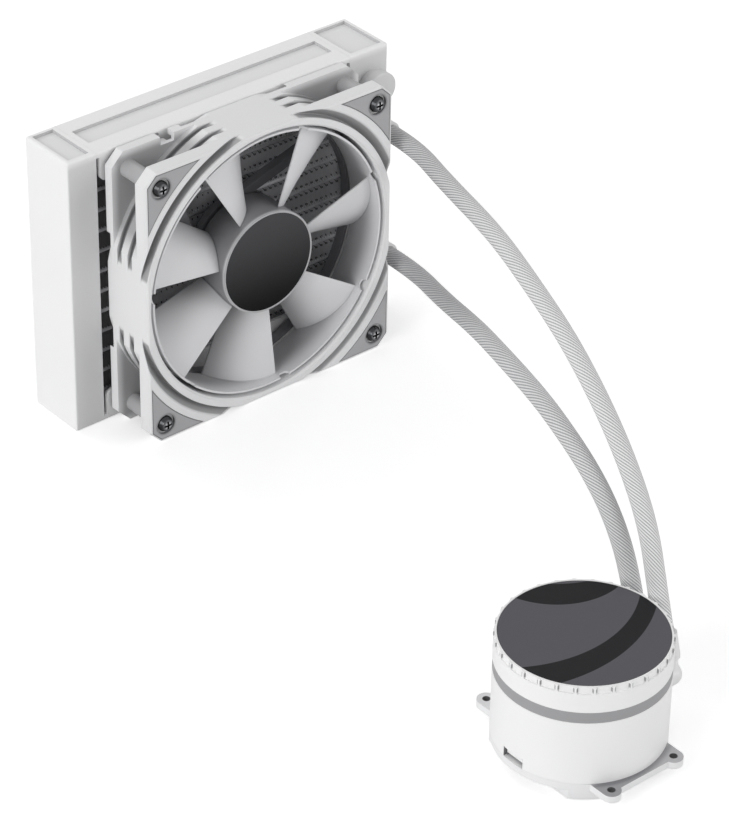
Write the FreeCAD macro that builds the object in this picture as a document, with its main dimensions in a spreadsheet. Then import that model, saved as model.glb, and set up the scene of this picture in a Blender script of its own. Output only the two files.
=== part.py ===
import FreeCAD, Part
import Sketcher
import math
import os
from FreeCAD import Placement, Rotation, Vector

# A closed-loop liquid cooler for a processor: a 120 mm radiator with its fan, two hoses and a round pump.
# The frame's origin is the centre of the cold plate's contact face, with +Z up and the radiator towards +Y.

sizes = {
    # radiator block
    "rad_deep": 27, "rad_right": 56, "rad_back": 278.5, "core_spare": 3,
    "left_tank_wide": 13.5, "right_tank_wide": 19.5, "tank_wall": 1.5, "tank_round": 1,
    "recess_margin": 2, "recess_depth": 1.3, "header_thick": 1.5, "header_gap": 0.1,
    # tubes and fins
    "tube_edge": 10.5, "tube_count": 12, "tube_thick": 2, "tube_deep": 18, "tube_reach": 3, "tube_gap": 0.1,
    "fin_waves": 20, "fin_sheet": 0.4, "fin_gap": 0.1, "fin_screw_gap": 1,
    # side plates
    "skin_thick": 2.5, "flange_thick": 1.5, "flange_tall": 13, "flange_notch": 1.5, "flange_round": 3,
    "plate_slot_wide": 11, "plate_slot_margin": 2.5, "plate_hole": 1.7, "fan_hole": 1.9,
    # ports on the right tank
    "port_edge": 32, "port_inset": 9, "port_boss": 5.4, "port_boss_long": 3.5, "port_bore": 3,
    "fill_drop": 15.3, "fill_inset": 8.4, "fill_boss": 5.8, "fill_boss_long": 2.3, "fill_bore": 3.6,
    "fill_cap_radius": 7, "fill_cap_long": 4.4, "fill_seal_thick": 0.5, "fill_stem_long": 3,
    # hose fittings
    "stem_gap": 0.1, "collar_radius": 4.8, "collar_thick": 1.2, "barb_radius": 2.6, "barb_ridge": 0.2,
    "fitting_bore": 1.7, "ferrule_radius": 4.6, "ferrule_bore": 2.9, "ferrule_long": 8.4, "hose_radius": 3.6,
    # fan frame
    "fan_side": 120, "fan_deep": 25, "fan_corner": 5.5, "fan_edge": 0.7,
    "rear_flange": 4.2, "front_flange": 6.2, "shroud_wall": 3.7, "rib_tall": 2,
    "rib_first": 2.1, "rib_second": 3.8, "rib_groove": 2.7,
    "post_radius": 3.6, "screw_edge": 7.5, "frame_hole": 2.3,
    "bore_wall": 2.2, "bore_bevel": 0.8, "lip_wide": 2.3,
    "base_radius": 21.5, "base_thick": 3, "strut_wide": 4, "strut_thick": 4, "strut_shift": 19,
    "strut_turn": 17.2, "strut_start": 6, "strut_short": 3.8,
    "bearing_tube": 5.2, "bearing_tube_top": 16.5, "bearing_floor": 1,
    "slit_wall": 3.4, "slit_wide": 4, "slit_floor": 0.5, "slit_front": 4, "slit_rear": 2.2,
    "notch_left": -37, "notch_right": -30.5, "notch_deep": 3.5,
    # rubber corner pads
    "pad_margin": 1.1, "pad_corner": 4.2, "pad_rim": 2.8, "pad_thick": 1.2, "pad_gap": 0.1,
    "pad_ring": 4.2,
    # fan screws
    "screw_head": 3.3, "screw_head_tall": 2.7, "screw_shank": 1.6, "screw_reach": 1.6, "cross_long": 3.4,
    "cross_wide": 0.8, "cross_deep": 1.1,
    # fan rotor
    "hub_radius": 21.7, "hub_face": 2.2, "hub_bottom": 5.2, "hub_wall": 2.2,
    "disc_thick": 0.6, "disc_rim": 0.8, "hub_boss": 3.5, "hub_boss_long": 2.7, "rotor_turn": 4.3,
    "ring_gap": 1.5, "ring_thick": 0.9, "ring_sink": 1.6, "ring_bottom": 6.3,
    "ring_notch": 2.2, "ring_notch_turn": 1.5,
    "blade_count": 7, "blade_sweep": 29, "blade_front": 5, "blade_back": 18, "blade_edge": 0.7,
    "blade_camber": 0.08, "blade_belly": 0.9, "blade_root": 20, "blade_bite": 0.5,
    # fan motor
    "shaft_radius": 1.5, "shaft_low": 1.4, "shaft_fit": 0.02, "running_gap": 0.05, "bearing_radius": 3.6,
    "bearing_gap": 0.05, "magnet_thick": 1.6, "magnet_gap": 0.1, "magnet_low": 6, "magnet_high": 17,
    "board_thick": 1.2, "board_radius": 17, "stator_radius": 16.8, "stator_low": 7, "stator_high": 15,
    "core_radius": 8, "pole_half": 8, "tooth_half": 2, "coil_half": 5, "coil_wrap": 1, "coil_gap": 0.1,
    "coil_start": 8.6, "coil_end": 13.2, "shoe_start": 13.5, "core_gap": 0.2,
    # pump base and cold plate
    "plate_long": 44, "plate_wide": 38, "plate_thick": 3, "plate_round": 3, "plate_gap": 0.2,
    "base_low": 0.4, "base_top": 7, "ear_thick": 3, "ear_radius": 3.5, "ear_hole": 1.4, "ear_wide": 29,
    "ear_long": 64, "bar_reach": 33, "block_long": 47, "block_wide": 56,
    "window": 30, "micro_count": 14, "micro_pitch": 1.9, "micro_thick": 0.8,
    "micro_tall": 2.5, "micro_long": 26, "gasket_wide": 1.7, "gasket_tall": 1, "gasket_gap": 0.1,
    "guide_thick": 1.2, "guide_slot": 2, "guide_gap": 0.3,
    "plate_screw_x": 19.5, "plate_screw_y": 15.4, "plate_screw_shank": 0.9, "plate_screw_head": 1.6,
    "plate_screw_long": 5.4, "plate_screw_gap": 0.15, "screw_sink": 0.3,
    # pump body
    "body_radius": 31, "body_wall": 1.8, "housing_top": 33, "band_tall": 4.5, "band_step": 0.15,
    "pump_top": 48, "crown_wall": 1.2, "crown_thick": 2.1, "crown_gap": 0.1,
    "crown_ledge": 1.8, "ledge_thick": 1.2, "panel_count": 30, "panel_tall": 2.8,
    "panel_wide": 5.3, "panel_cut": 0.6, "socket_wide": 9.5, "socket_tall": 4, "socket_long": 2,
    "socket_gap": 0.3, "socket_inset": 1.7, "socket_slot": 0.9,
    "shelf_low": 30.4, "shelf_wide": 4.5, "pump_board_thick": 1.6, "pump_board_gap": 0.3,
    # pump works
    "volute_radius": 27, "volute_top": 24, "chamber_radius": 16, "chamber_low": 9, "chamber_high": 15,
    "seat_half": 12, "seat_face": 26.3, "seat_low": 11.5, "seat_high": 22.5,
    "coil_well": 21.7, "coil_floor": 18.4, "can_radius": 10.4, "can_wall": 0.8,
    "can_flange": 13.5, "can_flange_thick": 1.2, "can_seat": 17, "can_top": 31, "can_gap": 0.1,
    "pin_radius": 1.25, "pin_low": 7.8, "pin_high": 29.8,
    "impeller_radius": 14.5, "impeller_low": 9.8, "impeller_plate": 1.4, "vane_count": 8, "vane_tall": 2.8,
    "stem_radius": 3.6, "stem_top": 28, "rotor_magnet": 9, "rotor_magnet_low": 15.6, "rotor_magnet_gap": 0.02,
    "vane_root": 5, "vane_thick": 0.9, "vane_tip_x": 12.2, "vane_tip_y": 6.5, "vane_bend": 12,
    "lamination_radius": 20.8, "yoke_radius": 18, "lamination_low": 20, "lamination_high": 27,
    "pump_tooth_half": 2, "pump_coil_half": 4.4, "pump_coil_start": 12.6,
    "pump_coil_end": 17.4, "can_clear": 0.5,
    # pump ports and elbows
    "elbow_spacing": 14, "elbow_up": 17, "elbow_out": 36, "elbow_lean": 16, "elbow_radius": 4.2,
    "elbow_flange": 4.5, "elbow_bore": 1.9, "arm_radius": 3.4, "arm_long": 6.3, "window_gap": 0.8,
    "duct_radius": 2.6, "duct_end": 22.6, "well_radius": 1.8, "well_out": 24.2, "gallery_half": 1.5,
    "gallery_low": 10.5, "gallery_high": 13, "trench_deep": 1.5, "trench_start": 13,
}

doc = FreeCAD.newDocument("LiquidCooler")
sheet = doc.addObject("Spreadsheet::Sheet", "Sizes")
for row, (name, number) in enumerate(sizes.items(), 1):
    sheet.set(f"A{row}", name)
    sheet.set(f"B{row}", str(number))
    sheet.setAlias(f"B{row}", name)
doc.recompute()


class Size:
    # A length from the sheet, or one worked out from others: its formula and its present value
    def __init__(self, formula, value):
        self.formula = formula
        self.value = value

    def __add__(self, other):
        return Size(f"({self.formula} + {formula(other)})", self.value + value(other))

    def __sub__(self, other):
        return Size(f"({self.formula} - {formula(other)})", self.value - value(other))

    def __mul__(self, other):
        return Size(f"({self.formula} * {formula(other)})", self.value * value(other))

    def __truediv__(self, other):
        return Size(f"({self.formula} / {formula(other)})", self.value / value(other))

    def __radd__(self, other):
        return as_size(other) + self

    def __rsub__(self, other):
        return as_size(other) - self

    def __rmul__(self, other):
        return as_size(other) * self

    def __neg__(self):
        return Size(f"(0 - {self.formula})", -self.value)


def as_size(item):
    return item if isinstance(item, Size) else Size(f"({item:g})", float(item))


def formula(item):
    return as_size(item).formula


def value(item):
    return as_size(item).value


def root(item):
    return Size(f"sqrt({item.formula})", math.sqrt(item.value))


def tangent(item):
    return Size(f"tan({item.formula})", math.tan(math.radians(item.value)))


class Sheet:
    # Every size by its own name
    def __getattr__(self, name):
        return Size(f"Sizes.{name}", float(getattr(sheet, name)))


s = Sheet()


def bind(thing, **links):
    # Ties properties to sizes; two underscores stand for the dot in a longer property path
    for path, size in links.items():
        thing.setExpression(path.replace("__", "."), formula(size))


def place(thing, x=0, y=0, z=0, turn=None):
    thing.Placement = Placement(Vector(0, 0, 0), turn or Rotation())
    for axis, size in (("x", x), ("y", y), ("z", z)):
        thing.setExpression(f"Placement.Base.{axis}", formula(size))


nodes = []


def new_body(label):
    body = doc.addObject("PartDesign::Body", label)
    body.Label = label
    nodes.append(body)
    return body


def origin_item(body, role):
    return [item for item in body.Origin.OriginFeatures if item.Role == role][0]


def sketch_on(body, role="XY_Plane", up=0, across=0, turn=None):
    # A sketch on one of the body's own planes, moved along its normal by up and in its plane by across
    sketch = body.newObject("Sketcher::SketchObject", "Sketch")
    sketch.AttachmentSupport = [(origin_item(body, role), "")]
    sketch.MapMode = "FlatFace"
    if turn is not None:
        sketch.AttachmentOffset = Placement(Vector(0, 0, 0), Rotation(Vector(0, 0, 1), value(turn)))
        bind(sketch, AttachmentOffset__Rotation__Angle=turn)
    bind(sketch, AttachmentOffset__Base__z=up, AttachmentOffset__Base__x=across)
    return sketch


def hold(sketch, kind, numbers, size):
    index = sketch.addConstraint(Sketcher.Constraint(kind, *numbers, value(size)))
    sketch.setExpression(f"Constraints[{index}]", formula(size))


def circle(sketch, radius, x=0, y=0):
    edge = sketch.addGeometry(Part.Circle(Vector(value(x), value(y), 0), Vector(0, 0, 1), value(radius)))
    hold(sketch, "Radius", (edge,), radius)
    hold(sketch, "DistanceX", (-1, 1, edge, 3), x)
    hold(sketch, "DistanceY", (-1, 1, edge, 3), y)


def arc_between(start, end, radius):
    # The short arc from start to end; a positive radius bulges to the left of the way
    chord = end - start
    height = math.sqrt(max(radius * radius - chord.Length ** 2 / 4, 0))
    side = Vector(-chord.y, chord.x, 0).normalize()
    way = 1 if radius > 0 else -1
    middle = (start + end) / 2 + side * way * (abs(radius) - height)
    return Part.Arc(start, middle, end)


def outline(sketch, *corners):
    # A closed line through the corners; a corner's third item is the radius of an arc to the next corner
    points = [Vector(value(corner[0]), value(corner[1]), 0) for corner in corners]
    edges = []
    for index, corner in enumerate(corners):
        start, end = points[index], points[(index + 1) % len(points)]
        if len(corner) == 3:
            arc = arc_between(start, end, value(corner[2]))
            edge = sketch.addGeometry(arc)
            first = sketch.getPoint(edge, 1)
            ends = (1, 2) if (first - start).Length < (first - end).Length else (2, 1)
            hold(sketch, "Radius", (edge,), corner[2] if value(corner[2]) > 0 else -as_size(corner[2]))
        else:
            edge = sketch.addGeometry(Part.LineSegment(start, end))
            ends = (1, 2)
        edges.append((edge, ends))
    for index, corner in enumerate(corners):
        before, after = edges[index - 1], edges[index]
        meet = Sketcher.Constraint("Coincident", before[0], before[1][1], after[0], after[1][0])
        sketch.addConstraint(meet)
        hold(sketch, "DistanceX", (-1, 1, after[0], after[1][0]), corner[0])
        hold(sketch, "DistanceY", (-1, 1, after[0], after[1][0]), corner[1])


def rectangle(sketch, left, low, right, high):
    outline(sketch, (left, low), (right, low), (right, high), (left, high))


def feature(body, kind, sketch, **links):
    # A feature from a sketch, with its lengths and angles tied to sizes
    item = body.newObject(f"PartDesign::{kind}", kind)
    item.Profile = sketch
    bind(item, **links)
    body.Tip = item
    return item


def pad(body, sketch, length, down=False):
    item = feature(body, "Pad", sketch, Length=length)
    item.Reversed = down
    return item


def pocket(body, sketch, depth, both_ways=False):
    item = feature(body, "Pocket", sketch, Length=depth)
    if both_ways:
        item.SideType = "Symmetric"
    return item


def spin(body, kind, sketch):
    item = feature(body, kind, sketch)
    item.ReferenceAxis = (sketch, ["V_Axis"])
    item.Angle = 360
    return item


def turned(label, *profile):
    # A piece turned about Z from a profile of radii and heights
    body = new_body(label)
    sketch = sketch_on(body, "XZ_Plane")
    outline(sketch, *profile)
    spin(body, "Revolution", sketch)
    return body


def ring_profile(inner, outer, low, high):
    return (inner, low), (outer, low), (outer, high), (inner, high)


def repeat(body, originals, count, axis="Z_Axis", span=None):
    # Copies about an axis, or along it where a span is given
    kind = "PolarPattern" if span is None else "LinearPattern"
    item = body.newObject(f"PartDesign::{kind}", kind)
    item.Originals = originals
    line = (origin_item(body, axis), [""])
    if span is None:
        item.Axis = line
        item.Angle = 360
    else:
        item.Direction = line
        bind(item, Length=span)
    bind(item, Occurrences=count)
    body.Tip = item
    return item


def soften(body, base, kind, radius, chosen):
    # Rounds or bevels the edges that the test picks by their two ends
    doc.recompute()
    names = []
    for index, edge in enumerate(base.Shape.Edges, 1):
        ends = [vertex.Point for vertex in edge.Vertexes]
        if chosen(ends[0], ends[-1]):
            names.append(f"Edge{index}")
    item = body.newObject(f"PartDesign::{kind}", kind)
    item.Base = (base, names)
    bind(item, **{"Radius" if kind == "Fillet" else "Size": radius})
    body.Tip = item
    return item


def near(one, other):
    return abs(one - other) < 0.01


# Radiator: two tanks, header plates, flat tubes, folded fins and two side plates

# The radiator is as tall as its fan, its core is a little wider, and the core's right end lines up with the fan
rad_tall = s.fan_side
half_wide = (s.left_tank_wide + s.fan_side + s.core_spare + s.right_tank_wide) / 2
fan_shift = half_wide - s.right_tank_wide - s.fan_side / 2
half_deep = s.rad_deep / 2
core_left = s.left_tank_wide - half_wide
core_right = half_wide - s.right_tank_wide
cavity_low = s.recess_depth + s.tank_wall
cavity_high = rad_tall - cavity_low
tube_run = rad_tall - 2 * s.tube_edge
# Circles of the fan follow its side, and so do its screws
screw_spacing = s.fan_side - 2 * s.screw_edge
bore_radius = s.fan_side / 2 - s.bore_wall
lip_radius = bore_radius - s.lip_wide
shroud_radius = bore_radius + s.shroud_wall
rib_radius = shroud_radius + s.rib_tall
slit_inner = bore_radius + s.slit_wall
slit_outer = slit_inner + s.slit_wide


def in_radiator(body):
    place(body, s.rad_right, s.rad_back)


def tank(label, left, right, inner, into):
    # A box with a shallow panel sunk in each end, hollow and open towards the core
    body = new_body(label)
    sketch = sketch_on(body)
    rectangle(sketch, left, -half_deep, right, half_deep)
    block = pad(body, sketch, rad_tall)
    edge_x = value(inner)
    soften(body, block, "Fillet", s.tank_round,
           lambda one, two: not (near(one.x, edge_x) and near(two.x, edge_x)))
    panel = (left + s.recess_margin, s.recess_margin - half_deep, right - s.recess_margin,
             half_deep - s.recess_margin)
    sketch = sketch_on(body, up=rad_tall)
    rectangle(sketch, *panel)
    pocket(body, sketch, s.recess_depth)
    sketch = sketch_on(body)
    rectangle(sketch, *panel)
    sunk = pocket(body, sketch, s.recess_depth)
    sunk.Reversed = True
    sketch = sketch_on(body, "YZ_Plane", up=inner)
    rectangle(sketch, s.tank_wall - half_deep, cavity_low, half_deep - s.tank_wall, cavity_high)
    hollow = pocket(body, sketch, right - left - s.tank_wall)
    hollow.Reversed = into
    return body


def header(label, left):
    # The plate that closes a tank, with a slot for each tube
    body = new_body(label)
    gap = s.header_gap
    sketch = sketch_on(body, "YZ_Plane", up=left)
    rectangle(sketch, s.tank_wall + gap - half_deep, cavity_low + gap, half_deep - s.tank_wall - gap,
              cavity_high - gap)
    pad(body, sketch, s.header_thick)
    slot_half = s.tube_thick / 2 + s.tube_gap
    sketch = sketch_on(body, "YZ_Plane", up=left + s.header_thick)
    rectangle(sketch, -s.tube_deep / 2 - s.tube_gap, s.tube_edge - slot_half, s.tube_deep / 2 + s.tube_gap,
              s.tube_edge + slot_half)
    slot = pocket(body, sketch, s.header_thick)
    repeat(body, [slot], s.tube_count, "Z_Axis", tube_run)
    in_radiator(body)


def make_tanks():
    left = tank("left_tank", -half_wide, core_left, core_left, False)
    in_radiator(left)
    right = tank("right_tank", core_right, half_wide, core_right, True)
    port_x = half_wide - s.port_inset
    fill_x = half_wide - s.fill_inset
    fill_z = rad_tall - s.fill_drop
    heights = (s.port_edge, rad_tall - s.port_edge)
    # Round bosses on the fan side for the two hoses and the fill plug
    sketch = sketch_on(right, "XZ_Plane", up=half_deep)
    for height in heights:
        circle(sketch, s.port_boss, port_x, height)
    pad(right, sketch, s.port_boss_long)
    sketch = sketch_on(right, "XZ_Plane", up=half_deep)
    circle(sketch, s.fill_boss, fill_x, fill_z)
    pad(right, sketch, s.fill_boss_long)
    sketch = sketch_on(right, "XZ_Plane", up=half_deep + s.port_boss_long)
    for height in heights:
        circle(sketch, s.port_bore, port_x, height)
    pocket(right, sketch, s.port_boss_long + s.tank_wall)
    sketch = sketch_on(right, "XZ_Plane", up=half_deep + s.fill_boss_long)
    circle(sketch, s.fill_bore, fill_x, fill_z)
    pocket(right, sketch, s.fill_boss_long + s.tank_wall)
    in_radiator(right)
    header("left_header", core_left - s.header_thick)
    header("right_header", core_right)

    forward = Rotation(Vector(1, 0, 0), 90)
    seal_high = s.fill_boss_long + s.fill_seal_thick
    seal = turned("fill_plug_seal", *ring_profile(s.fill_bore, s.fill_boss, s.fill_boss_long, seal_high))
    cap_high = seal_high + s.fill_cap_long
    bevel = s.fill_seal_thick
    stem, stem_low = s.fill_bore - s.stem_gap, seal_high - s.fill_stem_long
    cap = turned("fill_plug", (0, stem_low), (stem, stem_low), (stem, seal_high),
                 (s.fill_cap_radius, seal_high), (s.fill_cap_radius, cap_high - bevel),
                 (s.fill_cap_radius - bevel, cap_high), (0, cap_high))
    for piece in (seal, cap):
        place(piece, s.rad_right + fill_x, s.rad_back - half_deep, fill_z, forward)
    names = ("lower", "upper")
    for name, height in zip(names, heights):
        stem, stem_low = s.port_bore - s.stem_gap, -s.tank_wall
        start = s.port_boss_long
        barb_low = start + s.collar_thick
        barb_high = barb_low + s.ferrule_long
        fitting = turned(f"{name}_tank_fitting", (s.fitting_bore, stem_low), (stem, stem_low),
                         (stem, start), (s.collar_radius, start), (s.collar_radius, barb_low),
                         (s.barb_radius, barb_low), (s.barb_radius, barb_high - 3 * s.barb_ridge),
                         (s.barb_radius + s.barb_ridge, barb_high - 3 * s.barb_ridge),
                         (s.barb_radius, barb_high), (s.fitting_bore, barb_high))
        sleeve = ring_profile(s.ferrule_bore, s.ferrule_radius, barb_low, barb_high)
        ferrule = turned(f"{name}_tank_ferrule", *sleeve)
        for piece in (fitting, ferrule):
            place(piece, s.rad_right + port_x, s.rad_back - half_deep, height, forward)


def make_tubes():
    body = new_body("radiator_tubes")
    half = s.tube_thick / 2
    low = s.tube_edge
    side = s.tube_deep / 2 - half
    sketch = sketch_on(body, "YZ_Plane", up=core_left - s.tube_reach)
    outline(sketch, (-side, low - half), (side, low - half, -half * 1.001), (side, low + half),
            (-side, low + half, -half * 1.001))
    one = pad(body, sketch, core_right - core_left + 2 * s.tube_reach)
    repeat(body, [one], s.tube_count, "Z_Axis", tube_run)
    in_radiator(body)


def fin_strip(low, high, start, end):
    # One folded strip: a zigzag sheet between two tubes
    sheet_thick = value(s.fin_sheet)
    waves = round(value(s.fin_waves) * (end - start) / value(core_right - core_left))
    low, high = low + value(s.fin_gap), high - value(s.fin_gap) - sheet_thick
    step = (end - start) / waves / 2
    under = [Vector(start + i * step, 0, high if i % 2 else low) for i in range(2 * waves + 1)]
    over = [point + Vector(0, 0, sheet_thick) for point in reversed(under)]
    face = Part.Face(Part.makePolygon(under + over + under[:1]))
    deep = value(s.tube_deep)
    face.translate(Vector(0, -deep / 2, 0))
    return face.extrude(Vector(0, deep, 0))


def make_fins():
    count = int(value(s.tube_count))
    pitch = value(tube_run) / (count - 1)
    half = value(s.tube_thick) / 2
    skin = value(s.skin_thick)
    tubes = [value(s.tube_edge) + pitch * index for index in range(count)]
    lows = [skin] + [height + half for height in tubes]
    highs = [height - half for height in tubes] + [value(rad_tall) - skin]
    # Strips run from tank to tank, but the outer two leave the lines of the screw holes free
    tank_gap, screw_gap = value(s.fin_gap), value(s.plate_hole + s.fin_screw_gap)
    holes = [value(fan_shift + way * screw_spacing / 2) for way in (-1, 1)]
    full = (value(core_left) + tank_gap, value(core_right) - tank_gap)
    short = (holes[0] + screw_gap, holes[1] - screw_gap)
    spans = [short] + [full] * (count - 1) + [short]
    strips = [fin_strip(low, high, *span) for low, high, span in zip(lows, highs, spans)]
    fins = doc.addObject("Part::Feature", "radiator_fins")
    fins.Label = "radiator_fins"
    fins.Shape = Part.makeCompound(strips)
    place(fins, s.rad_right, s.rad_back)
    nodes.append(fins)


def side_plate(label, flipped):
    # A channel with a long panel sunk in its back and two screw holes in each flange; the flange on the fan's
    # side has wider holes, and it is the far one on a flipped plate
    body = new_body(label)
    high = rad_tall
    low = high - s.flange_tall
    inside = half_deep - s.flange_thick
    under = high - s.skin_thick
    sketch = sketch_on(body, "YZ_Plane", up=core_left)
    outline(sketch, (-half_deep, low), (-inside, low), (-inside, under), (inside, under), (inside, low),
            (half_deep, low), (half_deep, high), (-half_deep, high))
    channel = pad(body, sketch, core_right - core_left)
    top = value(high)
    softened = soften(body, channel, "Fillet", s.tank_round,
                      lambda one, two: near(one.z, top) and near(two.z, top) and near(one.y, two.y))
    sketch = sketch_on(body, "XZ_Plane")
    rectangle(sketch, core_left, low, core_left + s.flange_notch, under)
    rectangle(sketch, core_right - s.flange_notch, low, core_right, under)
    notched = pocket(body, sketch, s.rad_deep, both_ways=True)
    bottom = value(low)
    soften(body, notched, "Fillet", s.flange_round,
           lambda one, two: near(one.z, bottom) and near(two.z, bottom) and near(one.x, two.x))
    sketch = sketch_on(body, up=high)
    rectangle(sketch, core_left + s.plate_slot_margin, -s.plate_slot_wide / 2,
              core_right - s.plate_slot_margin, s.plate_slot_wide / 2)
    pocket(body, sketch, s.recess_depth)
    hole_z = rad_tall / 2 + screw_spacing / 2
    radii = (s.plate_hole, s.fan_hole) if flipped else (s.fan_hole, s.plate_hole)
    for radius, face in zip(radii, (half_deep, s.flange_thick - half_deep)):
        sketch = sketch_on(body, "XZ_Plane", up=face)
        for way in (-1, 1):
            circle(sketch, radius, fan_shift + way * screw_spacing / 2, hole_z)
        pocket(body, sketch, s.flange_thick)
    return body


def make_side_plates():
    in_radiator(side_plate("top_side_plate", False))
    bottom = side_plate("bottom_side_plate", True)
    place(bottom, s.rad_right, s.rad_back, rad_tall, Rotation(Vector(1, 0, 0), 180))


# Fan: every piece is drawn with its back at z = 0 and its front towards +Z, then laid against the radiator

def in_fan(body, turn=0):
    front = Rotation(Vector(1, 0, 0), 90) * Rotation(Vector(0, 0, 1), value(turn))
    place(body, s.rad_right + fan_shift, s.rad_back - half_deep - s.pad_thick, rad_tall / 2, front)


def pad_outline(sketch, gap):
    # A corner shape: two legs along the sides, a cut corner and an arc about the fan's centre
    edge = s.fan_side / 2 - s.pad_margin - gap
    arc = slit_outer + s.pad_rim + gap
    corner = s.pad_corner
    short = root(arc * arc - edge * edge)
    outline(sketch, (edge, short), (edge, edge - corner), (edge - corner, edge), (short, edge, arc))


def make_fan_frame():
    body = new_body("fan_frame")
    half, corner = s.fan_side / 2, s.fan_corner
    sketch = sketch_on(body)
    outline(sketch, (-half + corner, -half), (half - corner, -half), (half, -half + corner),
            (half, half - corner), (half - corner, half), (-half + corner, half), (-half, half - corner),
            (-half, -half + corner))
    block = pad(body, sketch, s.fan_deep)
    front = value(s.fan_deep)
    soften(body, block, "Chamfer", s.fan_edge, lambda one, two: near(one.z, front) and near(two.z, front))
    # Between the flanges the corners are cut away down to a ribbed round shroud
    first_top = s.rear_flange + s.rib_first
    second_low = first_top + s.rib_groove
    second_top = second_low + s.rib_second
    third_low = second_top + s.rib_groove
    third_top = s.fan_deep - s.front_flange
    far = s.fan_side
    sketch = sketch_on(body, "XZ_Plane")
    outline(sketch, (rib_radius, s.rear_flange), (rib_radius, first_top), (shroud_radius, first_top),
            (shroud_radius, second_low), (rib_radius, second_low), (rib_radius, second_top),
            (shroud_radius, second_top), (shroud_radius, third_low), (rib_radius, third_low),
            (rib_radius, third_top), (far, third_top), (far, s.rear_flange))
    spin(body, "Groove", sketch)
    # Posts round the screw holes join the two flanges
    at = screw_spacing / 2
    sketch = sketch_on(body, up=s.rear_flange)
    circle(sketch, s.post_radius, at, at)
    post = pad(body, sketch, third_top - s.rear_flange)
    repeat(body, [post], 4)
    # The bore has a bevelled mouth and a narrower lip at the back
    sketch = sketch_on(body, "XZ_Plane")
    outline(sketch, (0, 0), (lip_radius, 0), (lip_radius, s.rear_flange), (bore_radius, s.rear_flange),
            (bore_radius, s.fan_deep - s.bore_bevel), (bore_radius + s.bore_bevel, s.fan_deep),
            (0, s.fan_deep))
    spin(body, "Groove", sketch)
    # Motor base on four swept struts
    sketch = sketch_on(body)
    circle(sketch, s.base_radius)
    pad(body, sketch, s.base_thick)
    sketch = sketch_on(body, turn=s.strut_turn)
    strut_low, strut_high = s.strut_shift - s.strut_wide / 2, s.strut_shift + s.strut_wide / 2
    rectangle(sketch, s.strut_start, strut_low, bore_radius - s.strut_short, strut_high)
    strut = pad(body, sketch, s.strut_thick)
    repeat(body, [strut], 4)
    sketch = sketch_on(body, up=s.base_thick)
    circle(sketch, s.bearing_tube)
    pad(body, sketch, s.bearing_tube_top - s.base_thick)
    sketch = sketch_on(body, up=s.bearing_tube_top)
    circle(sketch, s.bearing_radius + s.bearing_gap)
    pocket(body, sketch, s.bearing_tube_top - s.bearing_floor)
    # Two ring slits, open at the sides where the ring is wider than the frame; the front one narrows inwards
    sketch = sketch_on(body, "XZ_Plane")
    slit_low = s.fan_deep - s.slit_front
    outline(sketch, (slit_inner, slit_low), (slit_inner + s.slit_floor, slit_low), (slit_outer, s.fan_deep),
            (slit_inner, s.fan_deep))
    rectangle(sketch, slit_inner, 0, slit_outer, s.slit_rear)
    spin(body, "Groove", sketch)
    # Front face: sunk corner pads and screw holes
    sketch = sketch_on(body, up=s.fan_deep)
    pad_outline(sketch, 0)
    seat = pocket(body, sketch, s.pad_thick)
    sketch = sketch_on(body, up=s.fan_deep)
    circle(sketch, s.frame_hole, at, at)
    hole = pocket(body, sketch, s.fan_deep)
    repeat(body, [seat, hole], 4)
    # The lead leaves through a notch in the back flange
    sketch = sketch_on(body, up=s.rear_flange)
    rectangle(sketch, s.notch_left, half - s.notch_deep, s.notch_right, half)
    pocket(body, sketch, s.rear_flange)
    in_fan(body)


def make_fan_pads():
    at = screw_spacing / 2
    for label, low, ring in (("fan_front_pads", s.fan_deep - s.pad_thick, s.pad_ring),
                             ("fan_rear_pads", -s.pad_thick, s.frame_hole)):
        body = new_body(label)
        sketch = sketch_on(body, up=low)
        pad_outline(sketch, s.pad_gap)
        circle(sketch, ring, at, at)
        one = pad(body, sketch, s.pad_thick)
        repeat(body, [one], 4)
        in_fan(body)


def make_fan_screws():
    body = new_body("fan_screws")
    at = screw_spacing / 2
    seat = s.fan_deep - s.pad_thick
    head = seat + s.screw_head_tall
    low = -s.pad_thick - s.screw_reach
    dome = s.screw_head_tall / 3
    sketch = sketch_on(body, "XZ_Plane", up=-at, across=at)
    outline(sketch, (0, low), (s.screw_shank, low), (s.screw_shank, seat), (s.screw_head, seat),
            (s.screw_head, seat + dome), (s.screw_head - dome, head - dome / 3), (dome, head), (0, head))
    one = spin(body, "Revolution", sketch)
    crosses = []
    for long_x, long_y in ((s.cross_long, s.cross_wide), (s.cross_wide, s.cross_long)):
        sketch = sketch_on(body, up=head)
        rectangle(sketch, at - long_x / 2, at - long_y / 2, at + long_x / 2, at + long_y / 2)
        crosses.append(pocket(body, sketch, s.cross_deep))
    repeat(body, [one] + crosses, 4)
    in_fan(body)


def blade_section(body, out):
    # A thin cambered section, seen along the blade: the leading edge is in front and to the left
    half = out * tangent(s.blade_sweep / 2)
    lead = s.fan_deep - s.blade_front
    trail = s.fan_deep - s.blade_back
    fall = lead - trail - s.blade_edge
    chord = root(4 * half * half + fall * fall)
    under = s.blade_camber * chord
    over = under + s.blade_belly
    sketch = sketch_on(body, "YZ_Plane", up=out)
    outline(sketch, (half, lead - s.blade_edge), (half, lead, -arc_radius(chord, over)),
            (-half, trail + s.blade_edge), (-half, trail, arc_radius(chord, under)))
    return sketch


def arc_radius(chord, rise):
    return (chord * chord / 4 + rise * rise) / (2 * rise)


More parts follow.
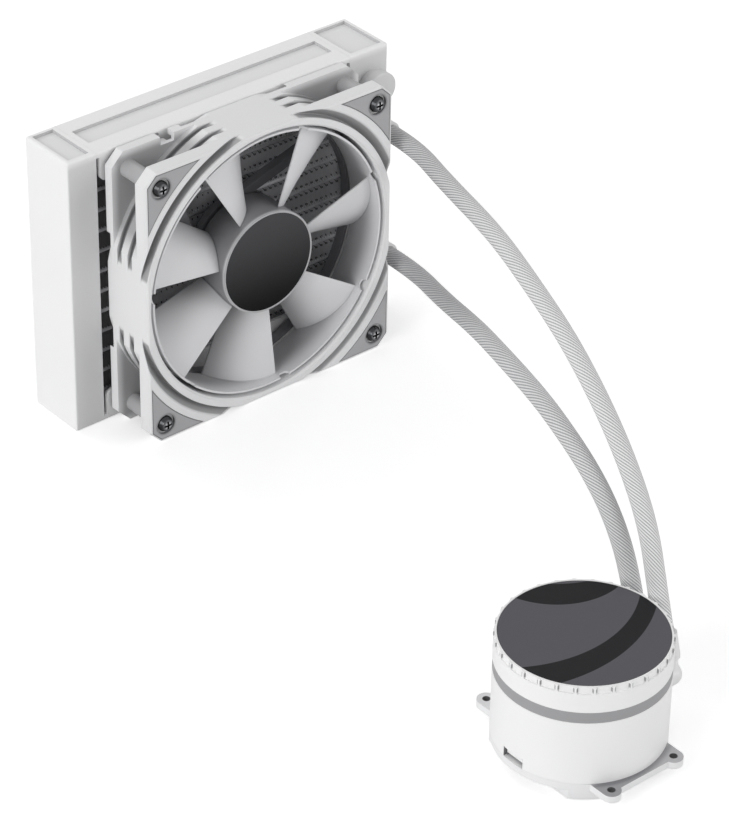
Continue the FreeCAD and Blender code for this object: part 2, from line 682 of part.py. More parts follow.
def make_rotor():
    body = new_body("fan_rotor")
    face = s.fan_deep - s.hub_face
    ring_outer = bore_radius - s.ring_gap
    ring_inner = ring_outer - s.ring_thick
    reach = s.fan_side / 2
    # Swept and cambered blades, lofted from the hub out past the ring, then trimmed inside the ring's wall
    stations = [s.blade_root + (reach - s.blade_root) * share for share in (0, 1 / 3, 2 / 3, 1)]
    sections = [blade_section(body, out) for out in stations]
    blade = feature(body, "AdditiveLoft", sections[0])
    blade.Sections = sections[1:]
    repeat(body, [blade], s.blade_count)
    sketch = sketch_on(body, "XZ_Plane")
    rectangle(sketch, ring_inner + s.blade_bite, 0, s.fan_side, s.fan_deep)
    spin(body, "Groove", sketch)
    # Hub cup with a boss for the shaft, and the ring that ties the blade tips
    inner = s.hub_radius - s.hub_wall
    boss_low = face - s.disc_thick - s.hub_wall - s.hub_boss_long
    sketch = sketch_on(body, "XZ_Plane")
    outline(sketch, (0, face - s.disc_thick), (s.hub_radius - s.disc_rim, face - s.disc_thick),
            (s.hub_radius - s.disc_rim, face), (s.hub_radius, face), (s.hub_radius, s.hub_bottom),
            (inner, s.hub_bottom), (inner, face - s.disc_thick - s.hub_wall),
            (s.hub_boss, face - s.disc_thick - s.hub_wall), (s.hub_boss, boss_low),
            (s.shaft_radius + s.shaft_fit, boss_low), (s.shaft_radius + s.shaft_fit, shaft_high()),
            (0, shaft_high()))
    spin(body, "Revolution", sketch)
    sketch = sketch_on(body, "XZ_Plane")
    ring_top = s.fan_deep - s.ring_sink
    rectangle(sketch, ring_inner, s.ring_bottom, ring_outer, ring_top)
    spin(body, "Revolution", sketch)
    # A rounded notch in the ring's front edge at the tip of each blade
    sketch = sketch_on(body, "YZ_Plane", up=reach)
    middle = ring_inner * tangent(s.blade_sweep / 2 + s.ring_notch_turn)
    circle(sketch, s.ring_notch, middle, ring_top)
    notch = pocket(body, sketch, reach / 4)
    repeat(body, [notch], s.blade_count)
    in_fan(body, s.rotor_turn)


def shaft_high():
    return s.fan_deep - s.hub_face - s.disc_thick - s.hub_wall / 2


def make_fan_motor():
    face = s.fan_deep - s.hub_face
    disc = turned("fan_hub_disc", *((radius, height) for radius, height in (
        (0, face - s.disc_thick), (s.hub_radius - s.disc_rim, face - s.disc_thick),
        (s.hub_radius - s.disc_rim, face), (0, face))))
    outer = s.hub_radius - s.hub_wall - s.magnet_gap
    magnet = turned("fan_magnet", *ring_profile(outer - s.magnet_thick, outer, s.magnet_low, s.magnet_high))
    shaft = turned("fan_shaft", (0, s.shaft_low), (s.shaft_radius, s.shaft_low),
                   (s.shaft_radius, shaft_high()), (0, shaft_high()))
    bearing = turned("fan_bearing", *ring_profile(s.shaft_radius + s.running_gap, s.bearing_radius,
                                                  s.bearing_floor, s.bearing_tube_top))
    board = turned("fan_board", *ring_profile(s.bearing_tube + s.core_gap, s.board_radius,
                                              s.base_thick, s.base_thick + s.board_thick))
    core = new_body("fan_stator")
    bore = s.bearing_tube + s.core_gap
    sketch = sketch_on(core, up=s.stator_low)
    circle(sketch, s.core_radius)
    circle(sketch, bore)
    pad(core, sketch, s.stator_high - s.stator_low)
    tip = root(s.stator_radius * s.stator_radius - s.pole_half * s.pole_half)
    sketch = sketch_on(core, up=s.stator_low)
    start = (s.core_radius + bore) / 2
    outline(sketch, (start, -s.tooth_half), (s.shoe_start, -s.tooth_half), (s.shoe_start, -s.pole_half),
            (tip, -s.pole_half, -s.stator_radius), (tip, s.pole_half), (s.shoe_start, s.pole_half),
            (s.shoe_start, s.tooth_half), (start, s.tooth_half))
    tooth = pad(core, sketch, s.stator_high - s.stator_low)
    repeat(core, [tooth], 4)
    coils = coil_group("fan_coils", 4, s.coil_start, s.coil_end, s.coil_half, s.tooth_half,
                       s.stator_low, s.stator_high)
    for piece in (disc, magnet, shaft, bearing, board, core, coils):
        in_fan(piece)


def coil_group(label, count, start, end, half, tooth_half, low, high):
    # Wound coils, each a block with a window for the tooth that it sits on
    body = new_body(label)
    sketch = sketch_on(body, "YZ_Plane", up=start)
    rectangle(sketch, -half, low - s.coil_wrap, half, high + s.coil_wrap)
    gap = s.coil_gap
    rectangle(sketch, -tooth_half - gap, low - gap, tooth_half + gap, high + gap)
    one = pad(body, sketch, end - start)
    repeat(body, [one], count)
    return body


# Pump: cold plate, base frame, works and casing, drawn in place about the Z axis

def corners(sketch, radius, x, y):
    for way_x in (-1, 1):
        for way_y in (-1, 1):
            circle(sketch, radius, way_x * x, way_y * y)


def centred(sketch, long_x, long_y):
    rectangle(sketch, -long_x / 2, -long_y / 2, long_x / 2, long_y / 2)


def make_cold_plate():
    body = new_body("cold_plate")
    sketch = sketch_on(body)
    centred(sketch, s.plate_long, s.plate_wide)
    block = pad(body, sketch, s.plate_thick)
    soften(body, block, "Fillet", s.plate_round, lambda one, two: near(one.x, two.x) and near(one.y, two.y))
    sketch = sketch_on(body)
    corners(sketch, s.plate_screw_shank + s.plate_screw_gap, s.plate_screw_x, s.plate_screw_y)
    through = pocket(body, sketch, s.plate_thick)
    through.Reversed = True
    sketch = sketch_on(body)
    corners(sketch, s.plate_screw_head + s.plate_screw_gap, s.plate_screw_x, s.plate_screw_y)
    sunk = pocket(body, sketch, s.screw_sink + s.plate_screw_head / 2)
    sunk.Reversed = True
    # Fine ribs on the wet side carry the heat into the liquid
    first = -s.micro_pitch * (s.micro_count - 1) / 2
    sketch = sketch_on(body, up=s.plate_thick)
    along, across = s.micro_long / 2, s.micro_thick / 2
    rectangle(sketch, -along, first - across, along, first + across)
    rib = pad(body, sketch, s.micro_tall)
    repeat(body, [rib], s.micro_count, "Y_Axis", s.micro_pitch * (s.micro_count - 1))

    screws = new_body("plate_screws")
    low = s.screw_sink
    sketch = sketch_on(screws, up=low)
    corners(sketch, s.plate_screw_head, s.plate_screw_x, s.plate_screw_y)
    pad(screws, sketch, s.plate_screw_head / 2)
    sketch = sketch_on(screws, up=low)
    corners(sketch, s.plate_screw_shank, s.plate_screw_x, s.plate_screw_y)
    pad(screws, sketch, s.plate_screw_long)

    gasket = new_body("plate_gasket")
    inner = s.window + 2 * s.gasket_gap
    sketch = sketch_on(gasket, up=s.plate_thick)
    centred(sketch, inner + 2 * s.gasket_wide, inner + 2 * s.gasket_wide)
    centred(sketch, inner, inner)
    pad(gasket, sketch, s.gasket_tall)

    guide = new_body("flow_guide")
    side = s.window - 2 * s.guide_gap
    sketch = sketch_on(guide, up=s.base_top - s.guide_thick)
    centred(sketch, side, side)
    centred(sketch, s.guide_slot, s.micro_long - s.guide_slot)
    pad(guide, sketch, s.guide_thick)


def make_base_frame():
    body = new_body("base_frame")
    ears_low = s.base_top - s.ear_thick
    sketch = sketch_on(body, up=ears_low)
    circle(sketch, s.body_radius)
    pad(body, sketch, s.ear_thick)
    # Four round ears with straight outer sides, joined in pairs by a bar
    ear_x, ear_y, ear = s.ear_wide / 2, s.ear_long / 2, s.ear_radius
    sketch = sketch_on(body, up=ears_low)
    corners(sketch, ear, ear_x, ear_y)
    pad(body, sketch, s.ear_thick)
    sketch = sketch_on(body, up=ears_low)
    centred(sketch, 2 * (ear_x + ear), 2 * ear_y)
    pad(body, sketch, s.ear_thick)
    sketch = sketch_on(body, up=ears_low)
    centred(sketch, 2 * ear_x, 2 * s.bar_reach)
    pad(body, sketch, s.ear_thick)
    # The block below stands round the cold plate, its corners on the body's circle
    long_half, wide_half, round_by = s.block_long / 2, s.block_wide / 2, s.body_radius
    side = root(round_by * round_by - long_half * long_half)
    end = root(round_by * round_by - wide_half * wide_half)
    sketch = sketch_on(body, up=s.base_low)
    outline(sketch, (-end, -wide_half), (end, -wide_half, -round_by), (long_half, -side),
            (long_half, side, -round_by), (end, wide_half), (-end, wide_half, -round_by),
            (-long_half, side), (-long_half, -side, -round_by))
    pad(body, sketch, ears_low - s.base_low)
    sketch = sketch_on(body, up=s.plate_thick)
    centred(sketch, s.plate_long + 2 * s.plate_gap, s.plate_wide + 2 * s.plate_gap)
    pocket(body, sketch, s.plate_thick - s.base_low)
    sketch = sketch_on(body, up=s.base_top)
    centred(sketch, s.window, s.window)
    pocket(body, sketch, s.base_top - s.plate_thick)
    seal_side = s.window + 4 * s.gasket_gap + 2 * s.gasket_wide
    sketch = sketch_on(body, up=s.plate_thick + s.gasket_tall)
    centred(sketch, seal_side, seal_side)
    pocket(body, sketch, s.gasket_tall)
    sketch = sketch_on(body, up=s.screw_sink + s.plate_screw_long)
    corners(sketch, s.plate_screw_shank + s.plate_screw_gap, s.plate_screw_x, s.plate_screw_y)
    pocket(body, sketch, s.plate_screw_long)
    sketch = sketch_on(body, up=s.base_top)
    corners(sketch, s.ear_hole, ear_x, ear_y)
    pocket(body, sketch, s.ear_thick)
    # A trench takes the liquid from under the outlet to the window
    port_y = s.elbow_spacing / 2
    sketch = sketch_on(body, up=s.base_top)
    trench_end = s.well_out + s.well_radius
    rectangle(sketch, s.trench_start, port_y - s.gallery_half, trench_end, port_y + s.gallery_half)
    pocket(body, sketch, s.trench_deep)


def make_volute():
    body = new_body("volute")
    sketch = sketch_on(body, up=s.base_top)
    circle(sketch, s.volute_radius)
    pad(body, sketch, s.volute_top - s.base_top)
    # A flat seat for the two elbows
    sketch = sketch_on(body, up=s.seat_low)
    rectangle(sketch, 0, -s.seat_half, s.seat_face, s.seat_half)
    pad(body, sketch, s.seat_high - s.seat_low)
    sketch = sketch_on(body, up=s.volute_top)
    rectangle(sketch, s.seat_face, -s.seat_half, s.body_radius, s.seat_half)
    pocket(body, sketch, s.volute_top - s.base_top)
    # Chamber, seat of the can and well of the windings, on one axis
    pin = s.pin_radius + s.shaft_fit
    sketch = sketch_on(body, "XZ_Plane")
    outline(sketch, (0, s.pin_low), (pin, s.pin_low), (pin, s.chamber_low), (s.chamber_radius, s.chamber_low),
            (s.chamber_radius, s.chamber_high), (s.can_radius, s.chamber_high), (s.can_radius, s.can_seat),
            (s.can_flange + s.can_gap, s.can_seat), (s.can_flange + s.can_gap, s.coil_floor),
            (s.coil_well, s.coil_floor), (s.coil_well, s.volute_top), (0, s.volute_top))
    spin(body, "Groove", sketch)
    # Ducts from the elbows, one into the chamber and one down to the cold plate
    port_y = s.elbow_spacing / 2
    sketch = sketch_on(body, "YZ_Plane", up=s.seat_face)
    circle(sketch, s.duct_radius, -port_y, s.elbow_up)
    circle(sketch, s.duct_radius, port_y, s.elbow_up)
    pocket(body, sketch, s.seat_face - s.duct_end)
    sketch = sketch_on(body, up=s.elbow_up)
    circle(sketch, s.well_radius, s.well_out, port_y)
    pocket(body, sketch, s.elbow_up - s.base_top)
    sketch = sketch_on(body, up=s.elbow_up)
    circle(sketch, s.well_radius, s.well_out, -port_y)
    pocket(body, sketch, s.elbow_up - s.gallery_low)
    sketch = sketch_on(body, up=s.gallery_high)
    rectangle(sketch, s.chamber_radius / 2, -port_y - s.gallery_half, s.well_out, s.gallery_half - port_y)
    pocket(body, sketch, s.gallery_high - s.gallery_low)
    # Two drain holes lead from the chamber to the flow guide
    sketch = sketch_on(body, up=s.chamber_low)
    circle(sketch, s.well_radius, 0, s.chamber_radius / 2)
    circle(sketch, s.well_radius, 0, -s.chamber_radius / 2)
    pocket(body, sketch, s.chamber_low - s.base_top)


def make_works():
    can_inner, can_roof = s.can_radius - s.can_wall, s.pin_high - s.can_wall
    pin_seat = s.pin_radius + s.shaft_fit
    turned("separation_can", (can_inner, s.can_seat), (s.can_flange, s.can_seat),
           (s.can_flange, s.can_seat + s.can_flange_thick), (s.can_radius, s.can_seat + s.can_flange_thick),
           (s.can_radius, s.can_top), (0, s.can_top), (0, s.pin_high), (pin_seat, s.pin_high),
           (pin_seat, can_roof), (can_inner, can_roof))
    turned("impeller_shaft", (0, s.pin_low), (s.pin_radius, s.pin_low), (s.pin_radius, s.pin_high),
           (0, s.pin_high))
    body = new_body("impeller")
    bore = s.pin_radius + s.running_gap
    plate_top = s.impeller_low + s.impeller_plate
    sketch = sketch_on(body, "XZ_Plane")
    outline(sketch, (bore, s.impeller_low), (s.impeller_radius, s.impeller_low),
            (s.impeller_radius, plate_top), (s.stem_radius, plate_top), (s.stem_radius, s.stem_top),
            (bore, s.stem_top))
    spin(body, "Revolution", sketch)
    sketch = sketch_on(body, up=plate_top)
    thick = s.vane_thick
    outline(sketch, (s.vane_root, 0), (s.vane_root + thick, 0, -s.vane_bend), (s.vane_tip_x, s.vane_tip_y),
            (s.vane_tip_x - thick * 0.7, s.vane_tip_y + thick * 0.7, s.vane_bend + thick))
    vane = pad(body, sketch, s.vane_tall)
    repeat(body, [vane], s.vane_count)
    turned("impeller_magnet", *ring_profile(s.stem_radius + s.rotor_magnet_gap, s.rotor_magnet,
                                            s.rotor_magnet_low, s.stem_top))
    core = new_body("pump_stator")
    tall = s.lamination_high - s.lamination_low
    sketch = sketch_on(core, up=s.lamination_low)
    circle(sketch, s.lamination_radius)
    circle(sketch, s.yoke_radius)
    pad(core, sketch, tall)
    sketch = sketch_on(core, up=s.lamination_low)
    half = s.pump_tooth_half
    rectangle(sketch, s.can_radius + s.can_clear, -half, (s.yoke_radius + s.lamination_radius) / 2, half)
    tooth = pad(core, sketch, tall)
    repeat(core, [tooth], 6)
    coil_group("pump_coils", 6, s.pump_coil_start, s.pump_coil_end, s.pump_coil_half, s.pump_tooth_half,
               s.lamination_low, s.lamination_high)


def make_casing():
    inner = s.body_radius - s.body_wall
    shelf_high = s.housing_top
    housing = turned("pump_housing", (inner, s.base_top), (s.body_radius, s.base_top),
                     (s.body_radius, shelf_high), (inner - s.shelf_wide, shelf_high),
                     (inner - s.shelf_wide, s.shelf_low), (inner, s.shelf_low))
    sketch = sketch_on(housing, "YZ_Plane", up=s.body_radius)
    port_y = s.elbow_spacing / 2
    window = s.elbow_radius + s.window_gap
    circle(sketch, window, -port_y, s.elbow_up)
    circle(sketch, window, port_y, s.elbow_up)
    pocket(housing, sketch, s.body_radius / 2)
    sketch = sketch_on(housing, "YZ_Plane", up=-s.body_radius)
    rectangle(sketch, -s.socket_wide / 2, s.base_top, s.socket_wide / 2, s.base_top + s.socket_tall)
    notch = pocket(housing, sketch, s.body_radius / 2)
    notch.Reversed = True

    socket = new_body("lead_socket")
    gap = s.socket_gap
    half = s.socket_wide / 2 - gap
    sketch = sketch_on(socket, "YZ_Plane", up=s.socket_inset - s.body_radius)
    rectangle(sketch, -half, s.base_top, half, s.base_top + s.socket_tall - gap)
    pad(socket, sketch, s.socket_long)
    sketch = sketch_on(socket, "YZ_Plane", up=s.socket_inset - s.body_radius)
    rectangle(sketch, gap - half, s.base_top, half - gap, s.base_top + s.socket_slot)
    hollow = pocket(socket, sketch, s.socket_long - gap)
    hollow.Reversed = True

    band_top = s.housing_top + s.band_tall
    turned("light_band", *ring_profile(inner, s.body_radius - s.band_step, s.housing_top, band_top))
    board_out = inner - s.pump_board_gap
    board = turned("pump_board", (0, s.housing_top), (board_out, s.housing_top),
                   (board_out, s.housing_top + s.pump_board_thick), (0, s.housing_top + s.pump_board_thick))
    sketch = sketch_on(board, up=s.housing_top + s.pump_board_thick)
    chip = board_out / 4
    rectangle(sketch, -chip, -chip, 0, 0)
    rectangle(sketch, chip, -chip / 2, chip * 2, chip)
    pad(board, sketch, s.pump_board_thick)

    disc_low = s.pump_top - s.crown_gap - s.crown_thick
    opening = s.body_radius - s.crown_wall
    crown = turned("crown_ring", (inner, band_top), (s.body_radius, band_top), (s.body_radius, s.pump_top),
                   (opening, s.pump_top), (opening, disc_low), (opening - s.crown_ledge, disc_low),
                   (opening - s.crown_ledge, disc_low - s.ledge_thick), (inner, disc_low - s.ledge_thick))
    sketch = sketch_on(crown, "YZ_Plane", up=s.body_radius)
    rectangle(sketch, -s.panel_wide / 2, s.pump_top - s.panel_tall, s.panel_wide / 2, s.pump_top)
    panel = pocket(crown, sketch, s.panel_cut)
    repeat(crown, [panel], s.panel_count)
    edge = opening - s.crown_gap
    turned("crown_disc", (0, disc_low), (edge, disc_low), (edge, s.pump_top - s.crown_gap),
           (0, s.pump_top - s.crown_gap))


def make_elbows():
    # Each elbow runs out of the pump's side, then up and towards the radiator
    run = s.elbow_out - s.seat_face
    up_turn = Rotation(Vector(1, 0, 0), -value(s.elbow_lean))
    for name, way in (("upper", -1), ("lower", 1)):
        body = new_body(f"{name}_elbow")
        # The arm points along the body's own Z, and the stub along its own X
        sketch = sketch_on(body, "YZ_Plane", up=-run)
        circle(sketch, s.elbow_radius)
        pad(body, sketch, run)
        collar_low = s.arm_long
        barb_low = collar_low + s.collar_thick
        barb_high = barb_low + s.ferrule_long
        sketch = sketch_on(body, "XZ_Plane")
        ball = s.elbow_radius
        neck = root(ball * ball - s.arm_radius * s.arm_radius)
        outline(sketch, (0, -ball, -ball), (ball, 0, -ball), (s.arm_radius, neck),
                (s.arm_radius, collar_low), (s.elbow_flange, collar_low), (s.elbow_flange, barb_low),
                (s.barb_radius, barb_low), (s.barb_radius, barb_high), (0, barb_high))
        spin(body, "Revolution", sketch)
        sketch = sketch_on(body, up=barb_high)
        circle(sketch, s.elbow_bore)
        pocket(body, sketch, barb_high)
        sketch = sketch_on(body, "YZ_Plane", up=-run)
        circle(sketch, s.elbow_bore)
        inlet = pocket(body, sketch, run)
        inlet.Reversed = True
        sleeve = ring_profile(s.ferrule_bore, s.ferrule_radius, barb_low, barb_high)
        ferrule = turned(f"{name}_pump_ferrule", *sleeve)
        for piece in (body, ferrule):
            place(piece, s.elbow_out, way * s.elbow_spacing / 2, s.elbow_up, up_turn)


# Hoses: round tubes whose straight runs are joined by arcs as large as the runs allow

def hose(label, tank_height, way, runs, route):
    # The route starts at the tank and ends at the elbow; both end runs leave their fitting straight
    lean = math.radians(value(s.elbow_lean))
    arm = Vector(0, math.sin(lean), math.cos(lean))
    elbow = Vector(value(s.elbow_out), way * value(s.elbow_spacing) / 2, value(s.elbow_up))
    last = elbow + arm * value(s.arm_long + s.collar_thick + s.ferrule_long)
    reach = value(half_deep + s.port_boss_long + s.collar_thick + s.ferrule_long)
    first = Vector(value(s.rad_right + half_wide - s.port_inset), value(s.rad_back) - reach, tank_height)
    points = [first, first - Vector(0, runs[0], 0)] + [Vector(*point) for point in route]
    points += [last + arm * runs[1], last]
    edges = []
    radii = []
    start = first
    for before, corner, after in zip(points, points[1:], points[2:]):
        back = (before - corner).normalize()
        ahead = (after - corner).normalize()
        half_turn = (math.pi - back.getAngle(ahead)) / 2
        cut = 0.45 * min((before - corner).Length, (after - corner).Length)
        radii.append(cut / math.tan(half_turn))
        arc_start, arc_end = corner + back * cut, corner + ahead * cut
        bisector = (back + ahead).normalize()
        depth = radii[-1] / math.cos(half_turn) - radii[-1]
        edges.append(Part.LineSegment(start, arc_start).toShape())
        edges.append(Part.Arc(arc_start, corner + bisector * depth, arc_end).toShape())
        start = arc_end
    edges.append(Part.LineSegment(start, last).toShape())
    path = Part.Wire(edges)
    section = Part.Wire([Part.makeCircle(value(s.hose_radius), first, Vector(0, -1, 0))])
    tube = doc.addObject("Part::Feature", label)
    tube.Label = label
    tube.Shape = path.makePipeShell([section], True, False)
    nodes.append(tube)
    wanted = math.pi * value(s.hose_radius) ** 2 * path.Length
    print(label, "length", round(path.Length, 1), "radii", [round(radius) for radius in radii],
          "volume over section times length", round(tube.Shape.Volume / wanted, 4))
    print([tuple(round(part, 2) for part in point) for point in points])


def make_hoses():
    hose("upper_hose", value(rad_tall - s.port_edge), -1, (16, 17.6),
         [(116.1, 208.6, 88.6), (99.4, 160.5, 93.9), (82.1, 120, 96.5), (67.2, 84.1, 96.6),
          (54.8, 50.8, 88.4), (46.9, 27.5, 75.8), (40.5, 12, 64.6)])
    hose("lower_hose", value(s.port_edge), 1, (17, 18.1),
         [(115.1, 206.3, 36.2), (97.4, 167.2, 49.6), (77.8, 131.5, 63.4), (63.2, 98.2, 70.9),
          (50.4, 72.4, 77.3), (41.5, 45.2, 74.6), (37.9, 28.3, 65.2)])


make_tanks()
make_tubes()
make_fins()
make_side_plates()
make_fan_frame()
make_fan_pads()
make_fan_screws()
make_rotor()
make_fan_motor()
make_cold_plate()
make_base_frame()
make_volute()
make_works()
make_casing()
make_elbows()
make_hoses()
doc.recompute()

faults = [item.Label for item in doc.Objects if "Invalid" in item.State or "Error" in item.State]
faults += [node.Label for node in nodes if node.Shape.isNull() or not node.Shape.isValid()]
if faults:
    raise RuntimeError("pieces that failed: " + ", ".join(faults))
os.makedirs("parts", exist_ok=True)
for node in nodes:
    node.Shape.exportStep(f"parts/{node.Label}.step")
print(len(nodes), "pieces written")
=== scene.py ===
import math
import bmesh
import bpy
from mathutils import Matrix, Vector


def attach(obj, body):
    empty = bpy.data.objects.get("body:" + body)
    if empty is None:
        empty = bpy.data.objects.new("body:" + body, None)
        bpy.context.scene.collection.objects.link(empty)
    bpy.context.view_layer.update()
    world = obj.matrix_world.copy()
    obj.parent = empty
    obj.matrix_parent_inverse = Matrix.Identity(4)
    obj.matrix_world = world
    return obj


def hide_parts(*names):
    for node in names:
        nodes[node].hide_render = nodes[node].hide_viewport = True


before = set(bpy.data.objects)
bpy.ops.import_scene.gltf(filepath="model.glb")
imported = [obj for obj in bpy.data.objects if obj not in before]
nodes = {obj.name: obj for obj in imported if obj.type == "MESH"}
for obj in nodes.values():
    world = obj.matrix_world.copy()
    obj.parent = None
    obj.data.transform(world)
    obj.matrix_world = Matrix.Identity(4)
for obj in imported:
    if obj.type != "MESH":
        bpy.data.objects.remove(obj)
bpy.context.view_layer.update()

mm = 0.001


# camera and light

cameraPlan = {
    "place": (-0.6952, -0.7052, 0.7906),
    "azimuth": -40.202,
    "elevation": 33.502,
    "roll": 0.862,
    "lens": 159.5,
}


def addCamera(plan):
    azimuth, elevation, roll = (math.radians(plan[name]) for name in ("azimuth", "elevation", "roll"))
    back = Vector((math.sin(azimuth) * math.cos(elevation), -math.cos(azimuth) * math.cos(elevation),
                   math.sin(elevation)))
    right = Vector((0, 0, 1)).cross(back).normalized()
    up = back.cross(right)
    across = right * math.cos(roll) + up * math.sin(roll)
    upright = up * math.cos(roll) - right * math.sin(roll)
    camera = bpy.data.objects.new("camera", bpy.data.cameras.new("camera"))
    camera.data.lens = plan["lens"]
    camera.data.sensor_width = 36
    camera.data.clip_start = 0.05
    camera.data.clip_end = 20
    turn = Matrix((across, upright, back)).transposed().to_4x4()
    camera.matrix_world = Matrix.Translation(plan["place"]) @ turn
    bpy.context.scene.collection.objects.link(camera)
    bpy.context.scene.camera = camera


addCamera(cameraPlan)
print("camera is set")


# shader helpers

class Wire:
    # one value in a shader; arithmetic on it adds Math nodes
    def __init__(self, shader, socket):
        self.shader = shader
        self.socket = socket

    def math(self, operation, *others):
        return self.shader.node("ShaderNodeMath", {"operation": operation}, self, *others)

    def __add__(self, other):
        return self.math("ADD", other)

    def __sub__(self, other):
        return self.math("SUBTRACT", other)

    def __mul__(self, other):
        return self.math("MULTIPLY", other)

    def __truediv__(self, other):
        return self.math("DIVIDE", other)

    def __rsub__(self, other):
        return self.shader.node("ShaderNodeMath", {"operation": "SUBTRACT"}, other, self)

    __radd__ = __add__
    __rmul__ = __mul__

    def soft(self, low, high):
        # 0 below low and 1 above high, smooth between
        smooth = {"interpolation_type": "SMOOTHSTEP"}
        return self.shader.node("ShaderNodeMapRange", smooth, self, low, high, 0.0, 1.0)

    def gate(self, low, high):
        # 1 between low and high
        return self.math("GREATER_THAN", low) * self.math("LESS_THAN", high)


class Shader:
    def __init__(self, name):
        self.material = bpy.data.materials.new(name)
        self.material.use_nodes = True
        self.tree = self.material.node_tree
        self.tree.nodes.clear()
        self.surface = self.tree.nodes.new("ShaderNodeBsdfPrincipled")
        output = self.tree.nodes.new("ShaderNodeOutputMaterial")
        self.tree.links.new(self.surface.outputs[0], output.inputs[0])
        self.output = output

    def node(self, kind, settings=None, *values, out=0, **named):
        made = self.tree.nodes.new(kind)
        for name, setting in (settings or {}).items():
            if name == "stops":
                self.setStops(made.color_ramp, setting)
            else:
                setattr(made, name, setting)
        for key, value in list(enumerate(values)) + list(named.items()):
            socket = made.inputs[key if isinstance(key, int) else key.replace("_", " ")]
            self.plug(value, socket)
        return Wire(self, made.outputs[out])

    def plug(self, value, socket):
        if isinstance(value, Wire):
            self.tree.links.new(value.socket, socket)
        else:
            socket.default_value = value

    def setStops(self, ramp, stops):
        while len(ramp.elements) < len(stops):
            ramp.elements.new(0.5)
        for element, (place, colour) in zip(ramp.elements, stops):
            element.position = place
            element.color = colour

    def set(self, **values):
        for name, value in values.items():
            self.plug(value, self.surface.inputs[name.replace("_", " ")])
        return self

    def place(self, scale=1.0, turn=(0, 0, 0), shift=(0, 0, 0)):
        # Object coordinates, in metres times scale
        flat = self.node("ShaderNodeTexCoord", out="Object")
        size = scale if isinstance(scale, tuple) else (scale,) * 3
        return self.node("ShaderNodeMapping", {}, flat, shift, turn, size)

    def split(self, vector):
        return [self.node("ShaderNodeSeparateXYZ", {}, vector, out=axis) for axis in (0, 1, 2)]

    def noise(self, vector, scale, detail=2.0, roughness=0.5):
        return self.node("ShaderNodeTexNoise", {}, Vector=vector, Scale=scale, Detail=detail,
                         Roughness=roughness)

    def blend(self, factor, one, other):
        made = self.tree.nodes.new("ShaderNodeMix")
        made.data_type = "RGBA"
        self.plug(factor, made.inputs[0])
        self.plug(one, made.inputs[6])
        self.plug(other, made.inputs[7])
        return Wire(self, made.outputs[2])

    def bump(self, height, distance, strength=1.0, normal=None):
        links = {"Height": height, "Distance": distance, "Strength": strength}
        if normal is not None:
            links["Normal"] = normal
        return self.node("ShaderNodeBump", {}, **links)

    def rounded(self, radius):
        return self.node("ShaderNodeBevel", {"samples": 4}, radius)


def rgb(code):
    # a colour as it shows on screen, turned to the linear values that shaders use
    parts = [int(code[index:index + 2], 16) / 255 for index in (0, 2, 4)]
    linear = [part / 12.92 if part <= 0.04045 else ((part + 0.055) / 1.055) ** 2.4 for part in parts]
    return (*linear, 1.0)


def paint(piece, material):
    piece.data.materials.clear()
    piece.data.materials.append(material)


# hoses

# each hose has its curve's points in mm, its length, the painted shade on it and how far its sleeve is drawn
# out:
# pairs of a share of the length and the stretch there
hosePlan = {
    "radius": 3.6 * mm,
    "sides": 40,
    "strands": 20.0,
    "lead": 0.85,
    "sway": 0.25,
    # where painted shade from the radiator fades in, in metres
    "shaded": (0.14, 0.24),
    "upper": {
        "points": [(125, 251.9, 88), (125, 235.9, 88), (116.1, 208.6, 88.6), (99.4, 160.5, 93.9),
                   (82.1, 120, 96.5), (67.2, 84.1, 96.6), (54.8, 50.8, 88.4), (46.9, 27.5, 75.8),
                   (40.5, 12, 64.6), (36, 2.23, 49.2), (36, -2.62, 32.28)],
        "length": 0.2987,
        "paintedShade": 0.0,
        "stretch": [(0.0, 1.5), (0.3, 2.35), (0.45, 2.25), (0.6, 1.85), (0.75, 1.38), (0.9, 1.05),
                    (1.0, 1.0)],
    },
    "lower": {
        "points": [(125, 251.9, 32), (125, 234.9, 32), (115.1, 206.3, 36.2), (97.4, 167.2, 49.6),
                   (77.8, 131.5, 63.4), (63.2, 98.2, 70.9), (50.4, 72.4, 77.3), (41.5, 45.2, 74.6),
                   (37.9, 28.3, 65.2), (36, 16.37, 49.68), (36, 11.38, 32.28)],
        "length": 0.2870,
        "paintedShade": 0.2,
        "stretch": [(0.0, 1.6), (0.3, 3.1), (0.5, 3.1), (0.66, 2.4), (0.78, 1.55), (0.9, 1.06),
                    (1.0, 1.0)],
    },
}


def smoothRoute(name, points):
    curve = bpy.data.curves.new(name + "Route", "CURVE")
    curve.dimensions = "3D"
    curve.resolution_u = 16
    spline = curve.splines.new("NURBS")
    spline.points.add(len(points) - 1)
    for point, place in zip(spline.points, points):
        point.co = (*[part * mm for part in place], 1)
    spline.order_u = 3
    spline.use_endpoint_u = True
    carrier = bpy.data.objects.new(name + "Route", curve)
    bpy.context.scene.collection.objects.link(carrier)
    bpy.context.view_layer.update()
    line = bpy.data.meshes.new_from_object(carrier.evaluated_get(bpy.context.evaluated_depsgraph_get()))
    route = [vertex.co.copy() for vertex in line.vertices]
    bpy.data.objects.remove(carrier)
    bpy.data.meshes.remove(line)
    return route


def stretchAt(share, stretches):
    # the stretch at a share of the length, on straight lines between the given pairs
    for (start, low), (end, high) in zip(stretches, stretches[1:]):
        if share <= end:
            return low + (high - low) * (share - start) / (end - start)
    return stretches[-1][1]


